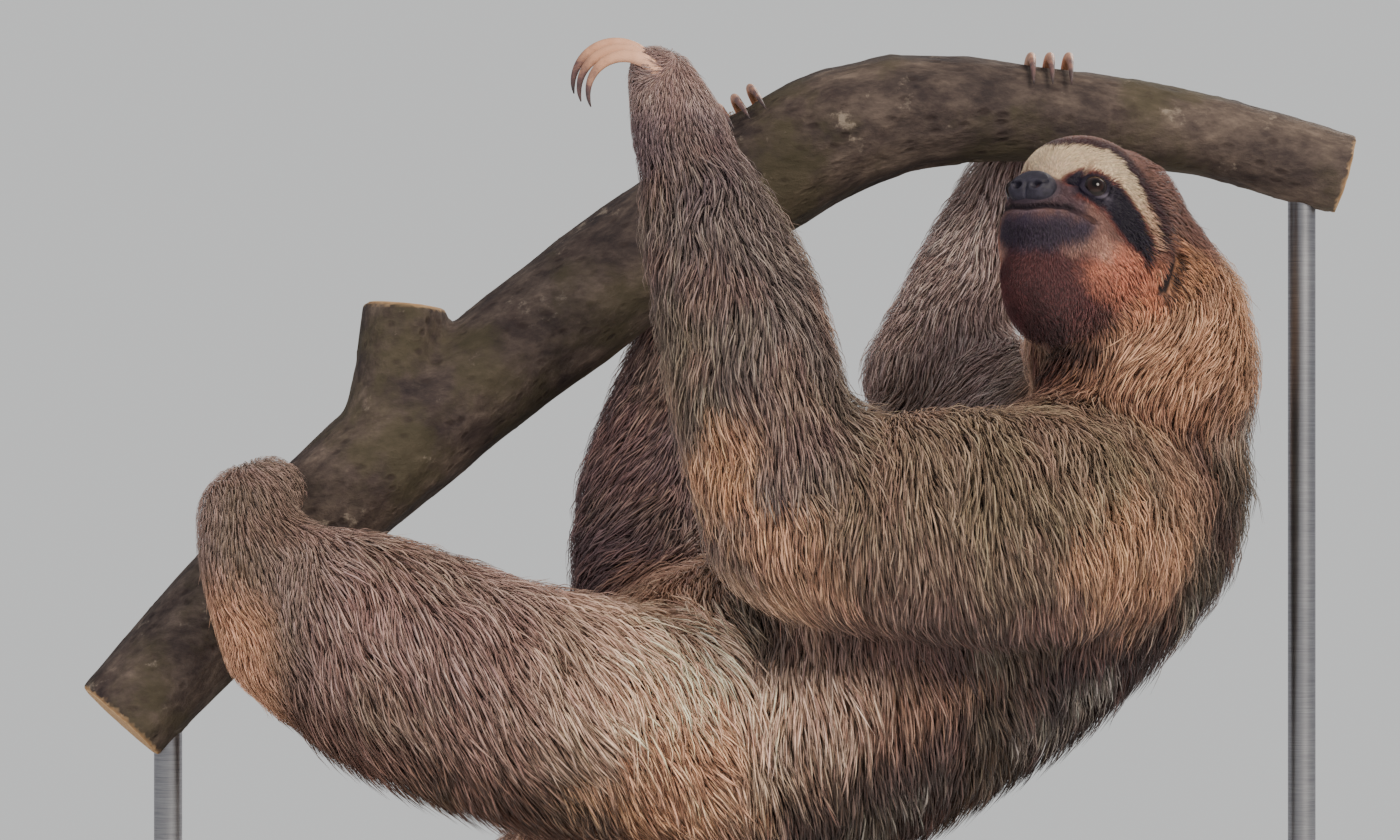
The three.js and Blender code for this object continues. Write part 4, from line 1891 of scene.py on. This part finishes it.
@dataclass
class Coat:
    """The coat, grown on the skin in tufts and kept in a few pieces for each region.

    Attributes:
        patch: The width of a tuft's patch on the unwrap.
        locks: The share of tufts that are long locks.
        strays: The share that stands out from the rest.
        claw_gap: The bare skin round each claw's root, in millimetres.
        most_triangles: Of one piece.
        face_crowd: Tufts on a square centimetre of the face.
        face_length: Of a tuft there, in millimetres.
        face_depth: Of the coat there, in millimetres.
        face_width: Of a tuft there, in millimetres.
    """

    patch: float = 0.003
    locks: float = 0.12
    strays: float = 0.015
    claw_gap: float = 2.4
    most_triangles: int = 188_000
    face_crowd: float = 230
    face_length: float = 5.2
    face_depth: float = 1.1
    face_width: float = 0.38
    finish: HairFinish = field(default_factory=HairFinish)

    def build(self, hide: Hide) -> list[Piece]:
        """Grows the whole coat.

        Args:
            hide: The skin's arrays.

        Returns:
            The pieces.
        """
        self._survey(hide)
        part = hide.weights[hide.triangles].sum(1).argmax(1)
        hair = self.finish.make()
        pieces = []
        for name, parts, kinds, slot in self._regions():
            chosen = np.isin(part, [FLESH.index(p) for p in parts])
            growths = [self._grow(chosen, kind.value, share) for kind, share in kinds]
            pieces += self._pieces(name, growths, hair)
        return pieces

    def _survey(self, hide: Hide) -> None:
        """Works out what the tufts depend on over the skin: area, colours, face and stubble.

        Args:
            hide: The skin's arrays.
        """
        self.hide = hide
        self.rng = np.random.default_rng(SEED)
        self.tree = BVHTree.FromPolygons([Vector(p) for p in hide.points], hide.triangles.tolist())
        corners = hide.points[hide.triangles]
        cross = np.cross(corners[:, 1] - corners[:, 0], corners[:, 2] - corners[:, 0])
        self.area = np.linalg.norm(cross, axis=1) / 200  # square centimetres
        self.colour, self.pale = hide.colours()
        own = HEAD.inward(hide.points)
        share = share_of(hide.weights, HEAD_PARTS)
        self.face = ease(0.4, 0.8, share) * ease(-2, 24, own[:, 0])
        folded = both_sides(own)
        edge = np.minimum(FACE.nose_leather.distance(folded), FACE.mouth.distance(folded))
        edge = np.minimum(edge, (FACE.oval(own) - 1.2) * FACE.eye_radius)
        slit = FACE.ear_slit.distance(folded)
        slit += 20 * (FACE.behind_ear(own) > 0)
        self.stubble = np.minimum(0.45 + 0.55 * ease(0, 14, edge), 0.3 + 0.7 * ease(1, 8, slit))

    def _regions(self) -> list[tuple[str, tuple[str, ...], list[tuple[Tuft, float]], str]]:
        """The regions that the coat is kept in.

        Returns:
            Each one's name, its parts, its kinds of tuft with their shares, and its material slot.
        """
        shaggy = [(Tuft.FINE, 1 - self.locks), (Tuft.LOCK, self.locks)]
        smooth = [(Tuft.SHORT, 1.0)]
        return [
            ("coat_trunk", ("trunk", "tail"), shaggy, "body_coat"),
            ("coat_neck", ("neck",), shaggy, "body_coat"),
            ("coat_head", HEAD_PARTS, smooth, "body_coat"),
            ("coat_upper_arm_left", ("upper_arm_left",), shaggy, "limb_coat"),
            ("coat_forearm_left", ("forearm_left",), shaggy, "limb_coat"),
            ("coat_arm_right", ("upper_arm_right", "forearm_right"), shaggy, "limb_coat"),
            ("coat_thigh_left", ("thigh_left",), shaggy, "limb_coat"),
            ("coat_shank_left", ("shank_left",), shaggy, "limb_coat"),
            ("coat_leg_right", ("thigh_right", "shank_right"), shaggy, "limb_coat"),
            ("coat_hands", ("hand_left", "hand_right"), smooth, "limb_coat"),
            ("coat_feet", ("foot_left", "foot_right"), smooth, "limb_coat"),
        ]

    def _at(self, values: Array, face: Array, bary: Array) -> Array:
        """A vertex value at places on the skin's faces."""
        return np.einsum("nk,nk...->n...", bary, values[self.hide.triangles[face]])

    def _size(self, name: str, on_face: float, face: Array, bary: Array) -> Array:
        """One of the coat's sizes at places on the skin, which on the face has a value of its own."""
        front = self._at(self.face, face, bary)
        return self._at(self.hide.blend(name), face, bary) * (1 - front) + on_face * front

    def _grow(self, chosen: Array, shape: TuftShape, share: float) -> Growth:
        """Grows one kind of tuft on the chosen faces.

        Args:
            chosen: Which of the skin's faces it grows on.
            shape: The kind of tuft.
            share: Its share of all the tufts there.

        Returns:
            The tufts.
        """
        hide, rng = self.hide, self.rng
        crowd = hide.blend("crowd") * (1 - self.face) + self.face_crowd * self.face
        total = np.cumsum(crowd[hide.triangles].mean(1) * self.area * chosen * share)
        count = int(total[-1])
        face = np.searchsorted(total, (np.arange(count) + rng.random(count)) * total[-1] / count)
        face = np.minimum(face, len(total) - 1)
        r1, r2 = np.sqrt(rng.random(count)), rng.random(count)
        bary = np.stack([1 - r1, r1 * (1 - r2), r1 * r2], axis=1)
        keep = self._hairy(self._at(hide.points, face, bary))
        face, bary = face[keep], bary[keep]
        lines, normals, width = self._lines(face, bary, shape)
        tint = self._tints(face, bary, lines[:, 0], shape)
        uv = np.einsum("nk,nkc->nc", bary, hide.uv[face])
        return Growth(shape, lines, normals, width, tint, uv)

    def _hairy(self, roots: Array) -> Array:
        """Leaves the bare places and the claws' roots without hair.

        Args:
            roots: Places on the skin.

        Returns:
            Which of them grow hair.
        """
        bare = FACE.bareness(HEAD.inward(roots))
        keep = self.rng.random(len(roots)) > bare
        for claw in Claws.all():
            keep &= np.linalg.norm(roots - claw.root(), axis=1) > self.claw_gap
        return keep

    def _lines(self, face: Array, bary: Array, shape: TuftShape) -> tuple[Array, Array, Array]:
        """Lays each tuft along the body.

        Args:
            face: The face each tuft grows on.
            bary: Its place on that face.
            shape: The kind of tuft.

        Returns:
            Points along each tuft, the skin's normals there, and each tuft's widest width.
        """
        hide, rng = self.hide, self.rng
        n = len(face)
        root, normal = self._at(hide.points, face, bary), unit(self._at(hide.normals, face, bary))
        flow = unit(self._at(hide.flow, face, bary))
        short = self._at(self.stubble, face, bary)
        length = self._size("length", self.face_length, face, bary) * short * shape.longer
        depth = self._size("depth", self.face_depth, face, bary) * (0.4 + 0.6 * short)
        width = self._size("width", self.face_width, face, bary) * (0.5 + 0.5 * short) * shape.wider
        level = ease(0.72, 0.98, normal[:, 2]) * ease(4, 6, depth)
        length *= rng.uniform(0.7, 1.25, n) * (1 - 0.35 * level)
        depth = depth * (1 - 0.45 * level)
        width *= rng.uniform(0.6, 1.25, n)
        low, high = shape.level
        stray = rng.random(n) < self.strays
        lift = depth * (low + (high - low) * rng.random(n) ** 0.8) * np.where(stray, 1.15, 1.0)
        comb = (grain(root, 18, 31) - 0.5) * 0.9 + (grain(root, 7, 32) - 0.5) * 0.55
        comb += rng.normal(0, 0.08, n) + np.where(stray, rng.normal(0, 0.2, n), 0)
        heading = flow * np.cos(comb)[:, None] + np.cross(normal, flow) * np.sin(comb)[:, None]
        rise = np.clip(lift / np.maximum(length, 0.1) * 1.6, 0.1, 1.0)
        heading = unit(heading + normal * rise[:, None])
        shares = shape.lengths()
        lines = np.empty((n, len(shares) + 1, 3))
        normals = np.empty((n, len(shares) + 1, 3))
        lines[:, 0], normals[:, 0] = root - normal * 0.5, normal
        here = root.copy()
        for step, part in enumerate(shares):
            aim = here + heading * (length * part)[:, None]
            spot, away, number = self._nearest(aim)
            height = ((aim - spot) * away).sum(1)
            wanted = lift * shape.hold[step] * (1 + np.where(stray & (step == len(shares) - 1), 0.4, 0))
            free = ease(0.2, 0.95, -away[:, 2]) * ease(4, 10, depth)
            pull = np.where(height < wanted, 1.0, 0.85 - 0.6 * free)
            placed = aim + away * ((wanted - height) * pull)[:, None]
            lines[:, step + 1], normals[:, step + 1] = placed, away
            along = unit(self.hide.flow[self.hide.triangles[number, 0]])
            turned = along * np.cos(comb)[:, None] + np.cross(away, along) * np.sin(comb)[:, None]
            heading = unit(unit(placed - here) * 0.35 + turned * 0.65 + DOWN * (0.35 * free)[:, None])
            here = placed
        return lines, normals, width

    def _nearest(self, places: Array) -> tuple[Array, Array, Array]:
        """Finds the skin nearest to each place.

        Args:
            places: Places, n by 3.

        Returns:
            The nearest points, their normals and their faces.
        """
        find = self.tree.find_nearest
        found = [find(Vector(p)) for p in places]
        spot = np.array([f[0] for f in found])
        away = np.array([f[1] for f in found])
        return spot, away, np.array([f[2] for f in found])

    def _tints(self, face: Array, bary: Array, roots: Array, shape: TuftShape) -> Array:
        """Each tuft's colours, with paler streaks that follow the hair.

        Args:
            face: The face each tuft grows on.
            bary: Its place on that face.
            roots: The tufts' roots.
            shape: The kind of tuft.

        Returns:
            The colours at the root, middle and tip.
        """
        rng = self.rng
        n = len(face)
        flow = unit(self._at(self.hide.flow, face, bary))
        streak = roots - flow * (roots * flow).sum(1, keepdims=True) * 0.8
        pick = 0.5 * grain(streak, 3.4, 41) + 0.25 * grain(roots, 9, 42) + 0.25 * rng.random(n)
        pick = ease(0.34, 0.78, pick + 0.08 * (shape.longer - 1) / 0.3)
        base, pale = self._at(self.colour, face, bary), self._at(self.pale, face, bary)
        front = self._at(self.face, face, bary)
        dim = 0.84 + 0.12 * front
        middle = base * dim[:, None] * (1 - pick[:, None]) + (base * 0.36 + pale * 0.64) * pick[:, None]
        middle *= rng.uniform(0.92, 1.08, (n, 1)) * (1 + rng.normal(0, 0.025, (n, 3)))
        # The root is darker: painted shade deep in the coat.
        low = middle * (0.84 + 0.08 * front)[:, None]
        return np.stack([low, middle, middle * 1.06], axis=1).clip(0.002, 1)

    def _pieces(self, name: str, growths: list[Growth], hair: Material) -> list[Piece]:
        """Keeps one region's tufts in as few pieces as the limit on triangles allows.

        Args:
            name: The region's name.
            growths: Its tufts.
            hair: The material.

        Returns:
            The pieces.
        """
        count = max(1, math.ceil(sum(g.triangles() for g in growths) / self.most_triangles))
        places = np.concatenate([g.lines[:, 0, 1] for g in growths])
        cuts = np.quantile(places, np.linspace(0, 1, count + 1))
        cuts[-1] += 1
        pieces = []
        for number in range(count):
            title = name if count == 1 else f"{name}_{number + 1}"
            low, high = cuts[number : number + 2]
            near = [g.rows((g.lines[:, 0, 1] >= low) & (g.lines[:, 0, 1] < high)) for g in growths]
            piece = self._mesh(title, [g.solids(self.patch) for g in near])
            piece.data.materials.append(hair)
            pieces.append(piece)
            log.info("%s: %d tufts", title, sum(len(g.lines) for g in near))
        return pieces

    @staticmethod
    def _mesh(name: str, solids: list[tuple[Array, Array, Array, Array]]) -> Piece:
        """Joins tufts into one piece.

        Args:
            name: Its name.
            solids: The points, colours, unwrap and triangles of each kind of tuft.

        Returns:
            The piece.
        """
        starts = np.cumsum([0, *(len(points) for points, *_ in solids)])
        points, colours, spots = (np.concatenate([s[i] for s in solids]) for i in range(3))
        triangles = np.concatenate([s[3] + start for s, start in zip(solids, starts)])
        mesh = bpy.data.meshes.new(name)
        mesh.vertices.add(len(points))
        mesh.vertices.foreach_set("co", (points.reshape(-1) * MM).astype(np.float32))
        mesh.loops.add(triangles.size)
        mesh.loops.foreach_set("vertex_index", triangles.ravel().astype(np.int32))
        mesh.polygons.add(len(triangles))
        mesh.polygons.foreach_set("loop_start", np.arange(0, triangles.size, 3, dtype=np.int32))
        mesh.update(calc_edges=True)
        mesh.shade_smooth()
        uv = mesh.uv_layers.new(name="OFBake").uv
        uv.foreach_set("vector", spots[triangles.ravel()].astype(np.float32).ravel())
        Bench.add_attribute(mesh, "tint", colours)
        return Bench.hang(name, mesh)


@dataclass
class Bough:
    """The cut length of bough, with its bark and its sawn ends. Sizes are in millimetres.

    Attributes:
        voxel: The faces' size.
        ridge: How far the bark's ridges stand out.
        lump: How far the bough's own swellings do.
        smoothing: Rounds that round off the solid's facets.
        ends: The middle of each sawn end, a place inside the wood behind it, and how far it reaches.
        slope: The bough's own axes, along which the ridges run.
    """

    voxel: float = 2.6
    ridge: float = 1.6
    lump: float = 2.2
    smoothing: int = 9
    ends: tuple[tuple[Triple, Triple, float], ...] = (
        ((-307, -26, 190), (-253, -14, 250), 36),
        ((307, 42, 464), (233, 40, 485), 32),
        ((-168, 10, 398), (-172, 8, 356), 23.5),
    )
    slope: tuple[Triple, ...] = ((0.72, 0, 0.62), (0, 1, 0), (-0.62, 0, 0.72))

    def build(self) -> Piece:
        """Makes the bough.

        Returns:
            The piece.
        """
        bough = Bench.copy_of(["perch_bough"], "bough")
        Bench.apply(bough, "REMESH", mode="VOXEL", voxel_size=self.voxel * MM, adaptivity=0.0)
        Bench.apply(bough, "SMOOTH", factor=0.5, iterations=self.smoothing)
        points, normals = Bench.points(bough), Bench.normals(bough)
        cut, ring = self._cuts(points, normals)
        stretched = points @ np.array(self.slope).T * np.array([0.22, 1, 1])
        height = grain(stretched, 9, 51) * 0.6 + grain(stretched, 3.6, 52) * 0.4
        lumps = grain(points, 34, 53) - 0.5
        rough = ((height - 0.75) * self.ridge + lumps * self.lump) * (1 - cut)
        Bench.move_points(bough, points + normals * rough[:, None])
        Bench.add_attribute(bough.data, "cut", cut)
        Bench.add_attribute(bough.data, "ring", ring)
        bough.data.shade_smooth()
        bough.data.materials.append(BarkFinish().make())
        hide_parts("perch_bough")
        return bough

    def _cuts(self, points: Array, normals: Array) -> tuple[Array, Array]:
        """Finds where the bough is sawn.

        Args:
            points: Its vertices.
            normals: Their normals.

        Returns:
            The share of sawn wood, and how far from the pith in millimetres.
        """
        cut, ring = np.zeros(len(points)), np.zeros(len(points))
        for at, inner, reach in self.ends:
            out = unit(np.array(at, float) - np.array(inner, float))
            offset = points - np.array(at, float)
            depth = offset @ out
            away = np.linalg.norm(offset - depth[:, None] * out, axis=1)
            here = ease(0.6, 0.85, normals @ out) * ease(-9, -5, depth) * (away < reach)
            cut, ring = np.maximum(cut, here), np.where(away < reach, away, ring)
        return cut, ring


@dataclass
class Stand:
    """The board and the two rods that carry the bough. Sizes are in millimetres.

    Attributes:
        length: Of the board.
        width: Of the board.
        thick: Of the board.
        corner: The radius of the board's corners.
        collar: The radius of a rod's foot.
        upper_edge: The bevel round the board's top.
        lower_edge: The bevel round its underside.
        rises: The steps of a rod's foot, each a height and the radius at its top.
        into_bough: How far a rod goes on above its solid, inside the bough.
    """

    length: float = 660
    width: float = 290
    thick: float = 18
    corner: float = 40
    collar: float = 20
    upper_edge: float = 4
    lower_edge: float = 1
    rises: tuple[tuple[float, float], ...] = (
        (3.6, 20),
        (0.8, 19.6),
        (0.6, 18.6),
        (0.2, 9.5),
        (0.8, 8.1),
        (1.6, 7.2),
        (1.5, 7),
    )
    into_bough: float = 6

    def build(self) -> list[Piece]:
        """Makes the stand.

        Returns:
            The board and the rods.
        """
        steel = SteelFinish().make()
        return [self._board(), *(self._rod(side, steel) for side in Side)]

    def _board(self) -> Piece:
        """The board: a slab with round corners and an eased upper edge.

        Returns:
            The piece.
        """
        Bench.clear()
        bpy.ops.mesh.primitive_cube_add(
            size=1,
            location=(0, 0, self.thick / 2 * MM),
            scale=(self.length * MM, self.width * MM, self.thick * MM),
        )
        board = Bench.newest("stand_board")
        self._bevel(board, lambda a, b: abs(a.z - b.z) > 0.01, self.corner, 16)
        top = self.thick * MM - 1e-5
        self._bevel(board, lambda a, b: a.z > top and b.z > top, self.upper_edge, 5)
        self._bevel(board, lambda a, b: a.z < 1e-5 and b.z < 1e-5, self.lower_edge, 2)
        Bench.take(board)
        bpy.ops.object.shade_smooth_by_angle(angle=math.radians(35))
        board.data.materials.append(BoardFinish().make())
        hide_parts("stand_base")
        return board

    @staticmethod
    def _bevel(piece: Piece, wanted: Callable[[Vector, Vector], bool], size: float, steps: int) -> None:
        """Rounds some of a piece's edges.

        Args:
            piece: The piece.
            wanted: Picks an edge by its two ends.
            size: The bevel in millimetres.
            steps: Its faces across.
        """
        mesh = piece.data
        ends = [[mesh.vertices[i].co for i in e.vertices] for e in mesh.edges]
        Bench.pick(piece, "edges", [wanted(a, b) for a, b in ends])
        Bench.edit(piece, "EDGE")
        bpy.ops.mesh.bevel(offset=size * MM, segments=steps, affect="EDGES")
        Bench.close()

    def _rod(self, side: Side, steel: Material) -> Piece:
        """A rod turned from one bar: a collar on the board, a fillet and the long shaft.

        Args:
            side: Which rod.
            steel: The material.

        Returns:
            The piece.
        """
        word = side.word
        low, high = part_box(f"stand_rod_{word}")
        middle = (low + high) / 2
        Bench.clear()
        bpy.ops.mesh.primitive_circle_add(
            vertices=48,
            radius=self.collar * MM,
            fill_type="NGON",
            location=(middle.x, middle.y, self.thick * MM),
        )
        rod = Bench.newest(f"stand_upright_{word}")
        Bench.edit(rod, "FACE")
        Bench.pick_all()
        radius = self.collar
        for rise, wide in self.rises:
            self._raise(rise, wide / radius, middle)
            radius = wide
        top = high.z / MM + self.into_bough
        self._raise(top - self.thick - sum(rise for rise, _ in self.rises), 1.0, middle)
        Bench.close_facing_out()
        Bench.take(rod)
        bpy.ops.object.shade_smooth_by_angle(angle=math.radians(40))
        rod.data.materials.append(steel)
        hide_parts(f"stand_rod_{word}")
        return rod

    @staticmethod
    def _raise(rise: float, share: float, middle: Vector) -> None:
        """Extrudes the picked top face upwards and makes it wider or narrower.

        Args:
            rise: How far, in millimetres.
            share: Its new width, as a share.
            middle: The rod's axis.
        """
        bpy.ops.mesh.extrude_region_move(TRANSFORM_OT_translate={"value": (0, 0, rise * MM)})
        if share != 1.0:
            bpy.ops.transform.resize(value=(share, share, 1), center_override=(middle.x, middle.y, 0))


@dataclass(frozen=True)
class Lamp:
    """A soft round light. It shows as a highlight where mirrored is true."""

    name: str
    at: Triple
    size: float
    power: float
    colour: Triple
    mirrored: bool = True


LAMPS = (
    Lamp("key", (1.4, -2.0, 1.9), 1.3, 82, (1.0, 0.89, 0.78)),
    Lamp("fill", (-1.5, -2.7, 0.6), 2.2, 47, (0.98, 0.95, 1.0), mirrored=False),
    Lamp("rim", (1.2, 1.9, 1.6), 1.4, 40, (1.0, 0.95, 0.88)),
)


@dataclass
class Studio:
    """The pale floor, the lights and the camera. Sizes are in metres, and the lens is in millimetres."""

    camera_at: Triple = (-0.020, -3.0, 0.340)
    lens: float = 154.29
    floor_radius: float = 1.9
    light_aim: Triple = (0, 0, 0.3)
    surround: tuple[tuple[Triple, float], ...] = (((0.96, 0.94, 1.0), 0.46), ((0.86, 0.87, 0.87), 0.80))

    def build(self) -> None:
        """Sets the studio up."""
        self._floor()
        self._world()
        for lamp in LAMPS:
            self._light(lamp)
        data = bpy.data.cameras.new("camera")
        data.lens, data.sensor_width = self.lens, 36.0
        camera = Bench.hang("camera", data)
        camera.location, camera.rotation_euler = self.camera_at, (math.radians(90), 0, 0)
        bpy.context.scene.camera = camera

    def _floor(self) -> None:
        """A pale round floor that fades out towards its edge."""
        Bench.clear()
        bpy.ops.mesh.primitive_circle_add(vertices=96, radius=self.floor_radius, fill_type="NGON")
        floor = bpy.context.active_object
        floor.name = "floor"
        s = Shade("floor_pale")
        spot = s.place()
        away = s.node("ShaderNodeVectorMath", {"operation": "LENGTH"}, {0: spot}, "Value")
        mottle = s.noise(spot, 3, 3)
        colour = s.ramp(mottle, (0.3, (0.74, 0.74, 0.73)), (0.7, (0.80, 0.80, 0.79)))
        s.finish(Base_Color=colour, Roughness=0.8, Alpha=1 - s.ease(away, 0.9, self.floor_radius * 0.97))
        floor.data.materials.append(s.material)

    def _world(self) -> None:
        """A pale surround, dimmer as light than as a background."""
        world = bpy.data.worlds.new("surround")
        bpy.context.scene.world = world
        world.use_nodes = True
        nodes, links = world.node_tree.nodes, world.node_tree.links
        nodes.clear()
        out = nodes.new("ShaderNodeOutputWorld")
        mixer, path = nodes.new("ShaderNodeMixShader"), nodes.new("ShaderNodeLightPath")
        for number, (colour, strength) in enumerate(self.surround):
            back = nodes.new("ShaderNodeBackground")
            back.inputs["Color"].default_value = (*colour, 1)
            back.inputs["Strength"].default_value = strength
            links.new(back.outputs[0], mixer.inputs[number + 1])
        links.new(path.outputs["Is Camera Ray"], mixer.inputs[0])
        links.new(mixer.outputs[0], out.inputs["Surface"])

    def _light(self, lamp: Lamp) -> None:
        """Hangs one light, aimed at the animal.

        Args:
            lamp: The light.
        """
        data = bpy.data.lights.new(lamp.name, "AREA")
        data.shape = "DISK"
        data.size, data.energy, data.color = lamp.size, lamp.power, lamp.colour
        light = Bench.hang(lamp.name, data)
        light.location = lamp.at
        light.visible_glossy = lamp.mirrored
        way = Vector(self.light_aim) - Vector(lamp.at)
        light.rotation_euler = way.to_track_quat("-Z", "Y").to_euler()


def main() -> None:
    """Builds every piece in order, and logs how many faces each has."""
    logging.basicConfig(level=logging.INFO, format="%(message)s")
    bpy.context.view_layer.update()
    Studio().build()
    skin, hide = Skin().build()
    log.info("skin: %d triangles", len(skin.data.polygons))
    pieces = [skin, *Coat().build(hide)]
    pieces += [Eye(side).build() for side in Side]
    pieces.append(Nose().build())
    horn = HornFinish().make()
    pieces += [claw.build(horn) for claw in Claws.all()]
    pieces.append(Bough().build())
    pieces += Stand().build()
    for piece in pieces:
        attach(piece, "root")
        log.info("%s: %d faces", piece.name, len(piece.data.polygons))


if __name__ == "__main__":
    main()
